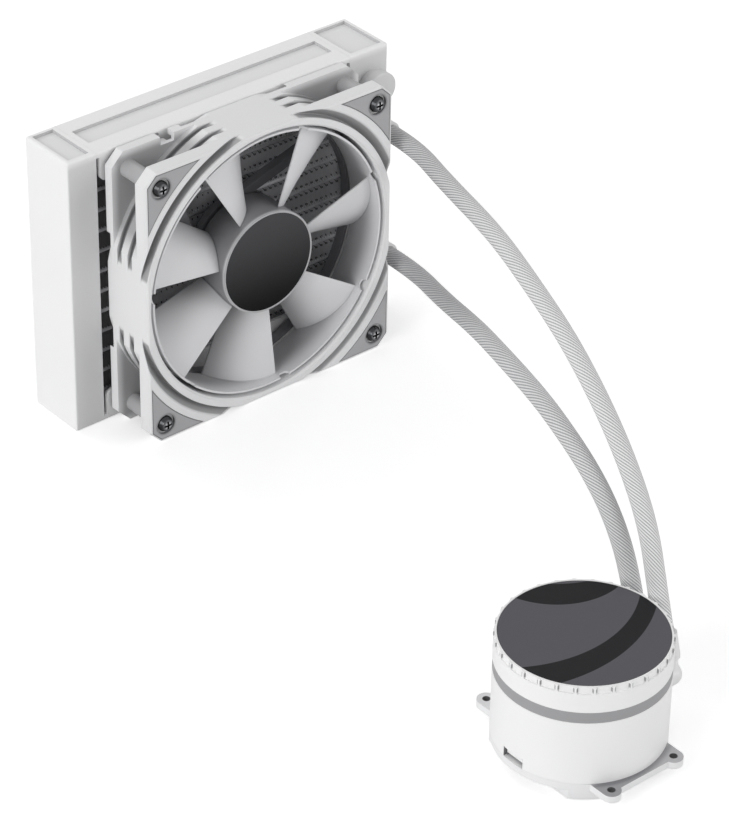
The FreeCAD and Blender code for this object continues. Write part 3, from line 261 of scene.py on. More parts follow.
def tubeAlong(name, route, radius, sides, stretches):
    # a closed tube with a UV map, in hose circumferences: u goes along the sleeve as it was before it was
    # drawn out, and v goes round
    mesh = bmesh.new()
    wrap = mesh.loops.layers.uv.new("sleeve")
    side = (route[1] - route[0]).cross(Vector((0, 0, 1))).normalized()
    rings, ways, way, gone = [], [], 0.0, 0.0
    whole = sum((far - near).length for near, far in zip(route, route[1:]))
    for index, centre in enumerate(route):
        following = (route[min(index + 1, len(route) - 1)] - route[max(index - 1, 0)]).normalized()
        side = (side - following * side.dot(following)).normalized()
        other = following.cross(side)
        if index:
            ahead = (centre - route[index - 1]).length
            gone += ahead
            way += ahead / stretchAt(gone / whole, stretches)
        ways.append(way / (2 * math.pi * radius))
        rings.append([mesh.verts.new(centre + radius * (side * math.cos(turn) + other * math.sin(turn)))
                      for turn in (2 * math.pi * step / sides for step in range(sides))])
    for index, (near, far) in enumerate(zip(rings, rings[1:])):
        for step in range(sides):
            following = (step + 1) % sides
            face = mesh.faces.new((near[step], near[following], far[following], far[step]))
            face.smooth = True
            spots = ((index, step), (index, step + 1), (index + 1, step + 1), (index + 1, step))
            for loop, (along, turn) in zip(face.loops, spots):
                loop[wrap].uv = (ways[along], turn / sides)
    mesh.faces.new(list(reversed(rings[0])))
    mesh.faces.new(rings[-1])
    bmesh.ops.recalc_face_normals(mesh, faces=mesh.faces)
    data = bpy.data.meshes.new(name)
    mesh.to_mesh(data)
    mesh.free()
    tube = bpy.data.objects.new(name, data)
    bpy.context.scene.collection.objects.link(tube)
    return tube


def sleeveFinish(name, plan):
    # round threads wound one way, with finer threads crossing under them; painted shade in the grooves
    # between the threads, more painted shade towards the radiator, and more again on the lower hose
    shader = Shader(name + "Weave")
    wrap = shader.node("ShaderNodeUVMap", {"uv_map": "sleeve"})
    along, turn, _ = shader.split(wrap)
    sway = (shader.noise(shader.place(), 90.0, 1.0) - 0.5) * plan["sway"]
    lay = along * plan["lead"]
    main = (((lay + turn) * plan["strands"] + sway).math("FRACT") - 0.5).math("ABSOLUTE")
    cross = (((lay - turn) * plan["strands"]).math("FRACT") - 0.5).math("ABSOLUTE")
    crown = 1 - main * main * 4
    weft = 1 - cross * cross * 4
    fuzz = shader.noise(shader.place(), 2600.0, 2.0)
    height = crown * 0.8 + weft * 0.2 + fuzz * 0.12
    # painted shade in the grooves between the threads
    paintedGrooveShade = main.soft(0.16, 0.44)
    _, north, _ = shader.split(shader.place())
    shade = paintedGrooveShade * (0.62 + weft * 0.25) + fuzz * 0.08
    # painted shade: darker towards the radiator, and darker on the lower hose
    shade = shade + north.soft(*plan["shaded"]) * 0.3 + plan[name]["paintedShade"]
    colour = shader.blend(shade.math("MINIMUM", 1.0), rgb("f6f6f6"), rgb("a2a2a5"))
    return shader.set(Base_Color=colour, Roughness=0.62, Normal=shader.bump(height, 0.0002)).material


def addHoses(plan):
    for name in ("upper", "lower"):
        route = smoothRoute(name, plan[name]["points"])
        hose = tubeAlong(name + "Sleeve", route, plan["radius"], plan["sides"], plan[name]["stretch"])
        paint(hose, sleeveFinish(name, plan))
        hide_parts(name + "_hose")
        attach(hose, "cooler")


addHoses(hosePlan)
print("hoses are made")


# finishes of the pieces that keep their own solids

def coatFinish(name, colour, depth, grain=0.00003, roughness=0.45, edge=0.35 * mm):
    # powder coat: an even colour with a fine orange-peel surface and softened edges;
    # depth(shader, tone) returns the tone with painted shade laid over it
    shader = Shader(name)
    spot = shader.place()
    fine = shader.noise(spot, 1500.0, 3.0)
    broad = shader.noise(spot, 25.0, 2.0)
    tone = depth(shader, shader.blend(broad * 0.10, rgb(colour), rgb("cfcfcf")))
    return shader.set(Base_Color=tone, Roughness=roughness + (fine - 0.5) * 0.12,
                      Normal=shader.bump(fine, grain, normal=shader.rounded(edge))).material


def plasticFinish(name, colour, roughness, edge=0.3 * mm, grain=0.000012, darker="9a9a9a", depth=None):
    # moulded plastic: a fine spark-eroded texture with faint flow shading
    shader = Shader(name)
    spot = shader.place()
    fine = shader.noise(spot, 3200.0, 2.0)
    broad = shader.noise(spot, 18.0, 1.0)
    tone = shader.blend(broad * 0.06, rgb(colour), rgb(darker))
    # depth lays painted shade over the tone
    if depth:
        tone = depth(shader, tone)
    return shader.set(Base_Color=tone, Roughness=roughness + (fine - 0.5) * 0.14,
                      Normal=shader.bump(fine, grain, normal=shader.rounded(edge))).material


# where painted shade and painted sheen lie on the fan and the radiator, in mm: a pair of numbers is a range
fanPlan = {"x": 54.5, "z": 60, "front": 238.8, "screw": 52.5, "hubPaintedSheen": (36, 82)}


def aboutFan(shader):
    # distance from the fan's axis and from its front, in mm, and the larger of the two ways off the axis
    east, north, up = shader.split(shader.place(scale=1000.0))
    across, high = east - fanPlan["x"], up - fanPlan["z"]
    out = (across * across + high * high).math("SQRT")
    square = across.math("ABSOLUTE").math("MAXIMUM", high.math("ABSOLUTE"))
    return out, north - fanPlan["front"], square


framePlan = {
    "slit": (61.0, 65.3),
    "slitMouth": (0.2, 1.0),
    "slitFloor": (4.0, 4.2),
    "flangeEdge": (59.4, 59.8),
    "shroud": 60.3,
    "grooves": (6.25, 20.75),
    "grooveFloor": (61.6, 63.3),
    "shelves": (6.25, 20.95),
    "shelfEdge": 60.2,
    "shelfFade": 4.0,
    "motorBase": 20.6,
    "backLip": (56.2, 57.0),
}


def framePaintedShade(shader, tone):
    # painted shade in the slits and grooves and on the rear flange behind the front flange; struts, motor
    # base and back lip are darker grey
    plan = framePlan
    out, deep, square = aboutFan(shader)
    slit = deep.soft(*plan["slitMouth"]) * out.gate(*plan["slit"]) * (1 - deep.soft(*plan["slitFloor"]))
    inside = 1 - square.soft(*plan["flangeEdge"])
    beyond = out.math("GREATER_THAN", plan["shroud"])
    grooves = deep.gate(*plan["grooves"]) * (1 - out.soft(*plan["grooveFloor"])) * beyond
    shelves = deep.gate(*plan["shelves"]) * (plan["shelfEdge"] - square).soft(0.0, plan["shelfFade"]) * beyond
    # painted shade in the slits, the grooves and on the rear flange
    shade = (slit * 0.6 + grooves * 0.6) * inside + shelves * 0.55
    tone = shader.blend(shade.math("MINIMUM", 0.8), tone, rgb("505053"))
    # struts, motor base and back lip darker grey
    back = deep.math("GREATER_THAN", plan["motorBase"]) * (1 - out.soft(*plan["backLip"]))
    return shader.blend(back, tone, rgb("77777b"))


# a sunk panel has the x and y of its middle and half its width and depth
radiatorPlan = {
    "panels": [(-15.25, 278.5, 4.75, 11.5), (124.25, 278.5, 7.75, 11.5), (53, 278.5, 59, 5.5)],
    "walls": (118.2, 119.93),
    "floors": (118.5, 118.9),
    "line": (0.1, 0.35),
    "front": 265.2,
    "frontTop": (116.0, 120.0),
}


def radiatorPaintedShade(shader, tone):
    # painted shade: a thin line round each sunk panel, slightly darker panel floors, and greyer fronts where
    # the fan keeps the light off
    plan = radiatorPlan
    east, north, up = shader.split(shader.place(scale=1000.0))
    near = None
    for x, y, halfWide, halfDeep in plan["panels"]:
        across, along = (east - x).math("ABSOLUTE") - halfWide, (north - y).math("ABSOLUTE") - halfDeep
        side = across.math("MAXIMUM", along)
        near = side if near is None else near.math("MINIMUM", side)
    lines = up.gate(*plan["walls"]) * (1 - near.math("ABSOLUTE").soft(*plan["line"]))
    floors = up.gate(*plan["floors"]) * near.math("LESS_THAN", 0.0)
    front = north.math("LESS_THAN", plan["front"]) * (1 - up.soft(*plan["frontTop"]))
    # painted shade on the panel edges, the panel floors and the fronts
    dark = (lines * 0.5).math("MAXIMUM", floors * 0.12).math("MAXIMUM", front * 0.3)
    return shader.blend(dark, tone, rgb("88888c"))


rotorPlan = {
    "blades": (5.5, 19.0),
    "roots": (21.0, 36.0),
    "ring": 54.8,
    "ringDeep": (2.0, 12.0),
    "hub": (22.0, 22.5),
    "hubRim": 2.4,
    "hubDeep": (2.4, 4.0),
}


def rotorPaintedShade(shader, tone):
    # painted shade: the blades darken towards the hub and towards their deep edges, and so do the ring, the
    # hub's side and its front rim
    plan = rotorPlan
    out, deep, _ = aboutFan(shader)
    blades = deep.soft(*plan["blades"]) * 0.45 + (1 - out.soft(*plan["roots"])) * 0.12
    ring = out.math("GREATER_THAN", plan["ring"]) * deep.soft(*plan["ringDeep"]) * 0.55
    shaded = shader.blend(blades.math("MAXIMUM", ring), tone, rgb("58585c"))
    side = deep.soft(*plan["hubDeep"]) * 0.7 + deep.math("LESS_THAN", plan["hubRim"]) * 0.35
    return shader.blend((1 - out.soft(*plan["hub"])) * side, shaded, rgb("58585c"))


padPlan = {
    "side": 58.8,
    "corner": 113.5,
    "arc": 68.1,
    "seam": (0.1, 0.45),
    "screwRing": (4.1, 5.2),
}


def padPaintedShade(shader, tone):
    # painted shade in the sunk ring round each fan screw and in the seam round each pad
    plan = padPlan
    east, _, up = shader.split(shader.place(scale=1000.0))
    fromX, fromZ = (east - fanPlan["x"]).math("ABSOLUTE"), (up - fanPlan["z"]).math("ABSOLUTE")
    across, high = fromX - fanPlan["screw"], fromZ - fanPlan["screw"]
    ring = 1 - (across * across + high * high).math("SQRT").soft(*plan["screwRing"])
    toSide = plan["side"] - fromX.math("MAXIMUM", fromZ)
    toCorner = (plan["corner"] - fromX - fromZ) * math.sqrt(0.5)
    toArc = (fromX * fromX + fromZ * fromZ).math("SQRT") - plan["arc"]
    seam = 1 - toSide.math("MINIMUM", toCorner).math("MINIMUM", toArc).soft(*plan["seam"])
    return shader.blend((ring * 0.6).math("MAXIMUM", seam * 0.7), tone, rgb("58585b"))


# where painted shade lies on the pump: the crown's ring of sunk panels, the base frame and the lead's socket
ringPlan = {
    "panels": 30,
    "start": 366,
    "half": 4.9,
    "line": (0.25, 0.7),
    "inner": 30.0,
    "foot": (45.2, 46.2),
    "head": (47.2, 47.7),
}


def crownPaintedShade(shader, tone):
    # painted shade at the upright edges of the crown's sunk panels, strongest near their top
    plan = ringPlan
    east, north, up = shader.split(shader.place(scale=1000.0))
    pitch = 360 / plan["panels"]
    turn = north.math("ARCTAN2", east) * (180 / math.pi) + plan["start"]
    edge = ((turn / pitch).math("FRACT") * pitch - pitch / 2).math("ABSOLUTE") - plan["half"]
    outside = (east * east + north * north).math("SQRT").math("GREATER_THAN", plan["inner"])
    tall = up.soft(*plan["foot"]) * (1 - up.soft(*plan["head"]))
    line = (1 - edge.math("ABSOLUTE").soft(*plan["line"])) * outside * tall
    return shader.blend(line * 0.7, tone, rgb("77777a"))


basePlan = {
    "earX": 14.5,
    "earY": 32,
    "hole": (1.42, 1.5),
    "top": 6.8,
    "ends": (22.0, 28.0),
    "front": (-24.0, -20.0),
    "leftToRight": (-12.0, 12.0),
    "foot": (31.3, 33.8),
}


def basePaintedShade(shader, tone):
    # painted shade: ears and bars are greyer on top, most so in front, towards the left and by the foot of
    # the body, and their screw holes are dark
    plan = basePlan
    east, north, up = shader.split(shader.place(scale=1000.0))
    across, along = east.math("ABSOLUTE") - plan["earX"], north.math("ABSOLUTE") - plan["earY"]
    hole = 1 - (across * across + along * along).math("SQRT").soft(*plan["hole"])
    flat = up.math("GREATER_THAN", plan["top"]) * north.math("ABSOLUTE").soft(*plan["ends"])
    front = 1 - north.soft(*plan["front"])
    foot = 1 - (east * east + north * north).math("SQRT").soft(*plan["foot"])
    amount = front * ((1 - east.soft(*plan["leftToRight"]) * 0.4) * 0.6 + foot * 0.3) + 0.2
    greyed = shader.blend(flat * amount.math("MINIMUM", 1.0), tone, rgb("7c7c80"))
    return shader.blend(hole * 0.9, greyed, rgb("2e2e30"))


socketPlan = {
    "half": 4.8,
    "wall": 4.35,
    "top": 11.1,
    "slotTop": 8.1,
    "deep": (-30.9, -24.0),
}


def socketPaintedShade(shader, tone):
    # painted shade: the gap round the lead's socket and the slot in it are dark
    plan = socketPlan
    east, north, up = shader.split(shader.place(scale=1000.0))
    side = north.math("ABSOLUTE")
    gap = side.gate(plan["wall"], plan["half"]) * up.math("LESS_THAN", plan["top"])
    dark = (gap + up.math("LESS_THAN", plan["slotTop"])).math("MINIMUM", 1.0)
    inside = east.gate(*plan["deep"]) * side.math("LESS_THAN", plan["half"])
    return shader.blend(dark * inside * 0.85, tone, rgb("4c4c4f"))


def rubberFinish(name, colour, depth=None):
    shader = Shader(name)
    spot = shader.place()
    fine = shader.noise(spot, 2400.0, 4.0, 0.7)
    tone = shader.blend(fine * 0.25, rgb(colour), rgb("6f6f70"))
    # depth lays painted shade over the tone
    if depth:
        tone = depth(shader, tone)
    return shader.set(Base_Color=tone, Roughness=0.78, Normal=shader.bump(fine, 0.00004)).material


def metalFinish(name, colour, roughness, brush=0.35, stretch=(60.0, 60.0, 2400.0)):
    # metal with fine tool marks; stretch draws the noise out along the axes with the lower numbers
    shader = Shader(name)
    lines = shader.noise(shader.place(scale=stretch), 1.0, 3.0, 0.6)
    tone = shader.blend(lines * 0.3, rgb(colour), rgb("3a3a3c"))
    return shader.set(Base_Color=tone, Metallic=1.0, Roughness=roughness + (lines - 0.5) * brush,
                      Normal=shader.bump(lines, 0.00001)).material


def lappedFinish(name, colour):
    # a milled face: fine arcs from the cutter
    shader = Shader(name)
    east, north, _ = shader.split(shader.place())
    way = ((east + 0.05) * (east + 0.05) + north * north).math("SQRT")
    arcs = (way * 9000.0).math("SINE") * 0.5 + 0.5
    mark = shader.noise(shader.place(), 900.0, 3.0)
    tone = shader.blend(arcs * 0.18 + mark * 0.15, rgb(colour), rgb("7a4028"))
    return shader.set(Base_Color=tone, Metallic=1.0, Roughness=0.26 + arcs * 0.08,
                      Normal=shader.bump(arcs * 0.6 + mark * 0.4, 0.000012)).material


screwPlan = {
    "crossHalf": 0.5,
    "crossReach": 1.8,
    "rim": (1.6, 2.7),
    "paintedHighlight": (0.9, 1.8),
}


def screwFinish(plan):
    # bright plating with a painted highlight in the middle, painted shade darker towards the rim and dark in
    # the cross of each fan screw
    shader = Shader("platedScrew")
    fine = shader.noise(shader.place(), 1800.0, 2.0)
    east, _, up = shader.split(shader.place(scale=1000.0))
    across = ((east - fanPlan["x"]).math("ABSOLUTE") - fanPlan["screw"]).math("ABSOLUTE")
    high = ((up - fanPlan["z"]).math("ABSOLUTE") - fanPlan["screw"]).math("ABSOLUTE")
    out = (across * across + high * high).math("SQRT")
    narrow = across.math("MINIMUM", high).math("LESS_THAN", plan["crossHalf"])
    cross = narrow * across.math("MAXIMUM", high).math("LESS_THAN", plan["crossReach"])
    # painted shade in the cross and towards the rim
    dark = (cross * 0.9 + out.soft(*plan["rim"]) * 0.85).math("MINIMUM", 0.92)
    # painted highlight in the middle
    plate = shader.blend(out.soft(*plan["paintedHighlight"]), rgb("ededf0"), rgb("8c8d90"))
    tone = shader.blend(dark, plate, rgb("1a1a1c"))
    return shader.set(Base_Color=tone, Metallic=1.0, Roughness=0.16 + fine * 0.08,
                      Normal=shader.bump(fine, 0.000006, normal=shader.rounded(0.25 * mm))).material


def hubFinish():
    # a dark disc with a painted sheen, lighter at the top and fading down its face
    shader = Shader("hubDisc")
    fine = shader.noise(shader.place(), 2600.0, 2.0)
    _, _, up = shader.split(shader.place(scale=1000.0))
    # painted sheen: lighter towards the top
    paintedSheen = shader.blend(up.soft(*fanPlan["hubPaintedSheen"]), rgb("060607"), rgb("4e4e50"))
    tone = shader.blend(fine * 0.06, paintedSheen, rgb("3a3a3c"))
    return shader.set(Base_Color=tone, Roughness=0.4 + fine * 0.06, Specular_IOR_Level=0.08,
                      Normal=shader.bump(fine, 0.000006)).material


# each circle has the x and y of its middle and its radius, in mm
crownPlan = {
    "field": "5c5b60",
    "band": "1e1e20",
    "bandInner": (-3.4, 41.6, 50.1),
    "bandOuter": (-9.2, 45.7, 63.4),
    "patch": (20.8, 39.1, 27.8),
    "sliver": (36, 58, 40),
    "edge": 0.12 * mm,
}


def crownFinish(plan):
    # plain dark arcs on a dark grey face
    shader = Shader("crownFace")
    east, north, _ = shader.split(shader.place())

    def away(circle):
        x, y, radius = (part * mm for part in circle)
        across, along = east - x, north - y
        return (across * across + along * along).math("SQRT") - radius

    edge = plan["edge"]
    band = away(plan["bandInner"]).soft(-edge, edge) * (1 - away(plan["bandOuter"]).soft(-edge, edge))
    patch = 1 - away(plan["patch"]).soft(-edge, edge)
    sliver = 1 - away(plan["sliver"]).soft(-edge, edge)
    dark = (band + patch * (1 - sliver)).math("MINIMUM", 1.0)
    fine = shader.noise(shader.place(), 2000.0, 2.0)
    tone = shader.blend(dark, rgb(plan["field"]), rgb(plan["band"]))
    return shader.set(Base_Color=tone, Roughness=0.5 + fine * 0.08, Specular_IOR_Level=0.12,
                      Normal=shader.bump(fine, 0.000004)).material


def bandFinish():
    # a frosted strip that light would shine through
    shader = Shader("frostedBand")
    spot = shader.place()
    fine = shader.noise(spot, 2200.0, 2.0)
    tone = shader.blend(fine * 0.2, rgb("a3a3a5"), rgb("8d8d90"))
    return shader.set(Base_Color=tone, Roughness=0.5, Normal=shader.bump(fine, 0.00001)).material


def boardFinish():
    # solder mask with fine tracks
    shader = Shader("boardMask")
    east, north, up = shader.split(shader.place())
    tracks = ((east + north + up) * 700.0).math("FRACT").gate(0.2, 0.45)
    patch = shader.noise(shader.place(), 160.0, 1.0).math("GREATER_THAN", 0.5)
    tone = shader.blend(tracks * patch * 0.6, rgb("12402a"), rgb("2b7048"))
    return shader.set(Base_Color=tone, Roughness=0.4).material


def windingFinish():
    # turns of enamelled wire, with painted shade between the turns
    shader = Shader("copperWinding")
    _, north, up = shader.split(shader.place())
    turns = (north * 3000.0 + up * 5000.0).math("FRACT") - 0.5
    height = 1 - turns * turns * 4
    tone = shader.blend(height, rgb("6b3418"), rgb("c87c46"))
    return shader.set(Base_Color=tone, Metallic=0.8, Roughness=0.35,
                      Normal=shader.bump(height, 0.00008)).material


finishes = {
    "whiteCoat": coatFinish("whiteCoat", "fafafa", radiatorPaintedShade),
    "frameWhite": plasticFinish("frameWhite", "eeeeef", 0.45, depth=framePaintedShade),
    "bladeWhite": plasticFinish("bladeWhite", "e6e6e8", 0.4, edge=0.2 * mm, depth=rotorPaintedShade),
    "pumpWhite": plasticFinish("pumpWhite", "fbfbfb", 0.38, edge=0.25 * mm, depth=socketPaintedShade),
    "crownWhite": plasticFinish("crownWhite", "fbfbfb", 0.38, edge=0.2 * mm, depth=crownPaintedShade),
    "baseWhite": plasticFinish("baseWhite", "f4f4f5", 0.42, edge=0.25 * mm, depth=basePaintedShade),
    "fittingWhite": plasticFinish("fittingWhite", "eeeeee", 0.32),
    "greyRubber": rubberFinish("greyRubber", "b6b6b8", padPaintedShade),
    "blackRubber": rubberFinish("blackRubber", "2a2a2b"),
    "coreCoat": plasticFinish("coreCoat", "c4c4c8", 0.5, darker="808082"),
    "bareMetal": metalFinish("bareMetal", "b8b9bb", 0.35),
    "pinSteel": metalFinish("pinSteel", "c4c5c8", 0.25),
    "magnetGrey": metalFinish("magnetGrey", "58585b", 0.55, 0.1, (900.0, 900.0, 900.0)),
    "bronze": metalFinish("bronze", "a8793f", 0.45, 0.1, (1500.0, 1500.0, 1500.0)),
    "copper": lappedFinish("copper", "c98a64"),
    "screw": screwFinish(screwPlan),
    "hub": hubFinish(),
    "crown": crownFinish(crownPlan),
    "band": bandFinish(),
    "board": boardFinish(),
    "winding": windingFinish(),
    "blackPlastic": plasticFinish("blackPlastic", "29292b", 0.45, darker="3c3c3e"),
}

wearing = {
    "whiteCoat": "left_tank right_tank top_side_plate bottom_side_plate fill_plug",
    "frameWhite": "fan_frame",
    "bladeWhite": "fan_rotor",
    "pumpWhite": "pump_housing lead_socket",
    "crownWhite": "crown_ring",
    "baseWhite": "base_frame",
    "fittingWhite": "upper_elbow lower_elbow upper_tank_fitting lower_tank_fitting upper_pump_ferrule "
                    "lower_pump_ferrule upper_tank_ferrule lower_tank_ferrule",
    "greyRubber": "fan_front_pads fan_rear_pads fill_plug_seal",
    "blackRubber": "plate_gasket",
    "coreCoat": "left_header right_header radiator_tubes radiator_fins",
    "bareMetal": "fan_stator pump_stator",
    "pinSteel": "fan_shaft impeller_shaft",
    "magnetGrey": "fan_magnet impeller_magnet",
    "bronze": "fan_bearing",
    "copper": "cold_plate",
    "screw": "fan_screws plate_screws",
    "hub": "fan_hub_disc",
    "crown": "crown_disc",
    "band": "light_band",
    "board": "fan_board pump_board",
    "winding": "fan_coils pump_coils",
    "blackPlastic": "flow_guide volute separation_can impeller",
}
for finish, worn in wearing.items():
    for name in worn.split():
        paint(nodes[name], finishes[finish])
print("finishes are on", sum(len(worn.split()) for worn in wearing.values()), "pieces")


# radiator core: one louvred fold, repeated by geometry nodes along and up the core

corePlan = {
    "left": -8.4,
    "right": 114.4,
    "middle": 278.5,
    "deep": 18.0,
    "folds": 94,
    "tubePitch": 9.0,
    "rowHeight": 6.8,
    "firstRow": 2.6,
    "rows": 13,
    "outerSkip": 10,
    "outerFolds": 76,
    "bend": 0.3,
    "louvre": 0.12,
    "lance": (0.0, 0.35),
    "slotPitch": 2.6,
    "slotAcross": (0.3, 0.62),
    "slotUp": (0.5, 1.3),
    "uncovered": (8, 11),
}


def repeaterTree(name):
    # places copies of the incoming mesh on a grid, realises them and gives them their finish
    tree = bpy.data.node_groups.new(name, "GeometryNodeTree")
    face = tree.interface
    face.new_socket("Geometry", in_out="INPUT", socket_type="NodeSocketGeometry")
    face.new_socket("Along", in_out="INPUT", socket_type="NodeSocketInt")
    face.new_socket("Step along", in_out="INPUT", socket_type="NodeSocketFloat")
    face.new_socket("Rows", in_out="INPUT", socket_type="NodeSocketInt")
    face.new_socket("Row height", in_out="INPUT", socket_type="NodeSocketFloat")
    face.new_socket("Finish", in_out="INPUT", socket_type="NodeSocketMaterial")
    face.new_socket("Geometry", in_out="OUTPUT", socket_type="NodeSocketGeometry")
    add, link = tree.nodes.new, tree.links.new
    start, end = add("NodeGroupInput"), add("NodeGroupOutput")

    def instances(source, count, step, vertical):
        line = add("GeometryNodeMeshLine")
        offset = add("ShaderNodeCombineXYZ")
        link(start.outputs[count], line.inputs["Count"])
        link(start.outputs[step], offset.inputs["Z" if vertical else "X"])
        link(offset.outputs[0], line.inputs["Offset"])
        copies = add("GeometryNodeInstanceOnPoints")
        link(line.outputs[0], copies.inputs["Points"])
        link(source, copies.inputs["Instance"])
        return copies.outputs[0]

    row = instances(start.outputs["Geometry"], "Along", "Step along", False)
    grid = instances(row, "Rows", "Row height", True)
    real, finish = add("GeometryNodeRealizeInstances"), add("GeometryNodeSetMaterial")
    link(grid, real.inputs[0])
    link(real.outputs[0], finish.inputs["Geometry"])
    link(start.outputs["Finish"], finish.inputs["Material"])
    link(finish.outputs[0], end.inputs[0])
    return tree


def repeated(name, seed, tree, **values):
    carrier = bpy.data.objects.new(name, seed)
    bpy.context.scene.collection.objects.link(carrier)
    modifier = carrier.modifiers.new("repeat", "NODES")
    modifier.node_group = tree
    for item in tree.interface.items_tree:
        if item.in_out == "INPUT" and item.name.replace(" ", "_") in values:
            modifier[item.identifier] = values[item.name.replace(" ", "_")]
    bpy.context.view_layer.update()
    made = bpy.data.meshes.new_from_object(carrier.evaluated_get(bpy.context.evaluated_depsgraph_get()))
    bpy.data.objects.remove(carrier)
    piece = bpy.data.objects.new(name, made)
    bpy.context.scene.collection.objects.link(piece)
    return piece


def foldMesh(name, plan, skipped, low):
    # one wave of thin sheet; its legs are lanced sideways in the middle slices
    pitch = (plan["right"] - plan["left"]) / plan["folds"]
    left, high, bend = plan["left"] + skipped * pitch, low + plan["rowHeight"], plan["bend"]
    # x in pitches, z in mm, and 1 where the sheet is a leg
    profile = [(0.0, low, 0), (0.16, low + bend * 0.3, 0), (0.24, low + bend, 1), (0.30, high - bend, 1),
               (0.40, high - bend * 0.2, 0), (0.60, high - bend * 0.2, 0), (0.70, high - bend, 1),
               (0.76, low + bend, 1), (0.84, low + bend * 0.3, 0), (1.0, low, 0)]
    # shares of the depth, and the side to which the legs are pushed there
    slices = [(0.0, 1), (0.2, 1), (0.2, -1), (0.5, -1), (0.5, 1), (0.8, 1), (0.8, -1), (1.0, -1)]
    mesh = bmesh.new()
    rows = []
    for deep, way in slices:
        rows.append([mesh.verts.new(((left + (x + legs * way * plan["louvre"] / 2) * pitch) * mm,
                                     (plan["middle"] + (deep - 0.5) * plan["deep"]) * mm, z * mm))
                     for x, z, legs in profile])
    for index in range(0, len(rows), 2):
        near, far = rows[index], rows[index + 1]
        for step in range(len(profile) - 1):
            mesh.faces.new((near[step], near[step + 1], far[step + 1], far[step]))
    data = bpy.data.meshes.new(name)
    mesh.to_mesh(data)
    mesh.free()
    return data, pitch


def finFinish(plan):
    # louvred fins: painted shade as dark lances across each leg and a row of dark slots beside every tube
    shader = Shader("foldedFin")
    fine = shader.noise(shader.place(), 1400.0, 2.0)
    east, north, up = shader.split(shader.place(scale=1000.0))
    louvre = north.math("FRACT").gate(*plan["lance"])
    row = ((up - plan["firstRow"]) / plan["tubePitch"]).math("FRACT") * plan["tubePitch"]
    low, high = plan["slotUp"]
    ends = row.gate(low, high).math("MAXIMUM", row.gate(plan["rowHeight"] - high, plan["rowHeight"] - low))
    paintedSlotShade = ends * ((east - plan["left"]) / plan["slotPitch"]).math("FRACT").gate(*plan["slotAcross"])
    tone = shader.blend(louvre * 0.15 + fine * 0.1, rgb("f8f8fa"), rgb("8a8a8e"))
    # painted shade on the strip that the fan leaves uncovered
    strip = 1 - (east - plan["left"]).soft(*plan["uncovered"])
    dark = (paintedSlotShade * 0.8).math("MAXIMUM", strip * 0.75)
    return shader.set(Base_Color=shader.blend(dark, tone, rgb("303033")), Roughness=0.5).material


def addCore(plan):
    tree = repeaterTree("finRepeater")
    finish = finFinish(plan)
    step, last = plan["tubePitch"], plan["rows"] - 1
    inner, pitch = foldMesh("finFold", plan, 0, plan["firstRow"] + step)
    # the outer two rows leave the lines of the screw holes free
    outer, _ = foldMesh("outerFold", plan, plan["outerSkip"], plan["firstRow"])
    fins = [repeated("finRows", inner, tree, Along=plan["folds"], Step_along=pitch * mm, Rows=last - 1,
                     Row_height=step * mm, Finish=finish),
            repeated("outerFinRows", outer, tree, Along=plan["outerFolds"], Step_along=pitch * mm, Rows=2,
                     Row_height=step * last * mm, Finish=finish)]
    for piece in fins:
        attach(piece, "cooler")
    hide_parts("radiator_fins")


addCore(corePlan)
print("radiator core is made")


# light and floor

lightPlan = {
    "world": 0.44,
    "aim": (0.05, 0.13, 0.05),
    "key": {"place": (-1.9, -0.1, 0.9), "size": 1.2, "power": 18},
    "fill": {"place": (1.3, -1.4, 0.8), "size": 1.2, "power": 12},
    "back": {"place": (0, 1.7, 1.4), "size": 1.2, "power": 7.5},
}


def addLight(name, plan, aim):
    light = bpy.data.objects.new(name, bpy.data.lights.new(name, "AREA"))
    light.data.size = plan["size"]
    light.data.energy = plan["power"]
    place = Vector(plan["place"])
    light.location = place
    light.rotation_euler = (Vector(aim) - place).to_track_quat("-Z", "Y").to_euler()
    bpy.context.scene.collection.objects.link(light)


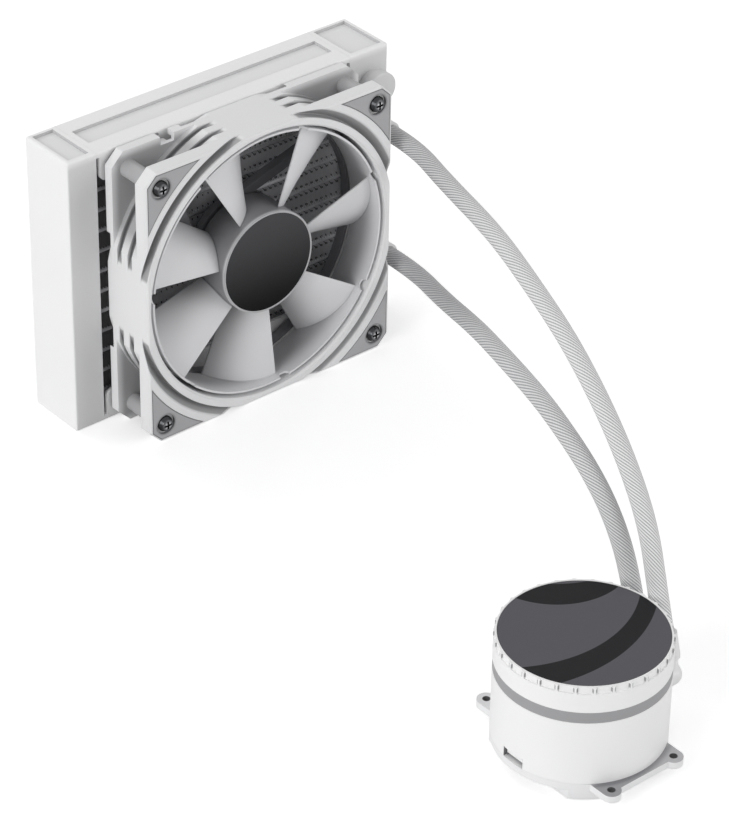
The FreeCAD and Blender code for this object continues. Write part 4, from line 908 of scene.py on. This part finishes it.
def addWorld(strength):
    # soft light from all round; the camera and mirrors see plain white
    world = bpy.data.worlds.new("room")
    world.use_nodes = True
    tree = world.node_tree
    tree.nodes.clear()
    add, link = tree.nodes.new, tree.links.new
    rays, room, white = add("ShaderNodeLightPath"), add("ShaderNodeBackground"), add("ShaderNodeBackground")
    mix, output = add("ShaderNodeMixShader"), add("ShaderNodeOutputWorld")
    room.inputs["Color"].default_value = (1, 1, 1, 1)
    room.inputs["Strength"].default_value = strength
    white.inputs["Strength"].default_value = 1.0
    white.inputs["Color"].default_value = (1, 1, 1, 1)
    seen = rays.outputs["Is Camera Ray"]
    for kind in ("Is Glossy Ray", "Is Transmission Ray"):
        both = add("ShaderNodeMath")
        both.operation = "MAXIMUM"
        link(seen, both.inputs[0])
        link(rays.outputs[kind], both.inputs[1])
        seen = both.outputs[0]
    link(seen, mix.inputs[0])
    link(room.outputs[0], mix.inputs[1])
    link(white.outputs[0], mix.inputs[2])
    link(mix.outputs[0], output.inputs[0])
    bpy.context.scene.world = world


floorPlan = {"reach": 6, "glow": 0.42}


def addFloor(plan):
    mesh = bpy.data.meshes.new("floor")
    reach = plan["reach"]
    mesh.from_pydata([(-reach, -reach, 0), (reach, -reach, 0), (reach, reach, 0), (-reach, reach, 0)], [],
                     [(0, 1, 2, 3)])
    floor = bpy.data.objects.new("floor", mesh)
    bpy.context.scene.collection.objects.link(floor)
    shader = Shader("paleFloor")
    grain = shader.noise(shader.place(), 40.0, 2.0)
    shader.set(Base_Color=shader.blend(grain * 0.1, rgb("f2f2f2"), rgb("e6e6e6")), Roughness=0.8)
    # the camera sees the floor lifted to white, with the object's shadow left in it
    glow = shader.node("ShaderNodeEmission", {}, rgb("ffffff"), plan["glow"])
    lifted = shader.node("ShaderNodeAddShader", {}, Wire(shader, shader.surface.outputs[0]), glow)
    seen = shader.node("ShaderNodeLightPath", out="Is Camera Ray")
    mixed = shader.node("ShaderNodeMixShader", {}, seen, Wire(shader, shader.surface.outputs[0]), lifted)
    shader.plug(mixed, shader.output.inputs[0])
    paint(floor, shader.material)


for lampName in ("key", "fill", "back"):
    addLight(lampName, lightPlan[lampName], lightPlan["aim"])
addWorld(lightPlan["world"])
addFloor(floorPlan)
bpy.context.scene.view_settings.view_transform = "Standard"
print("light and floor are set")
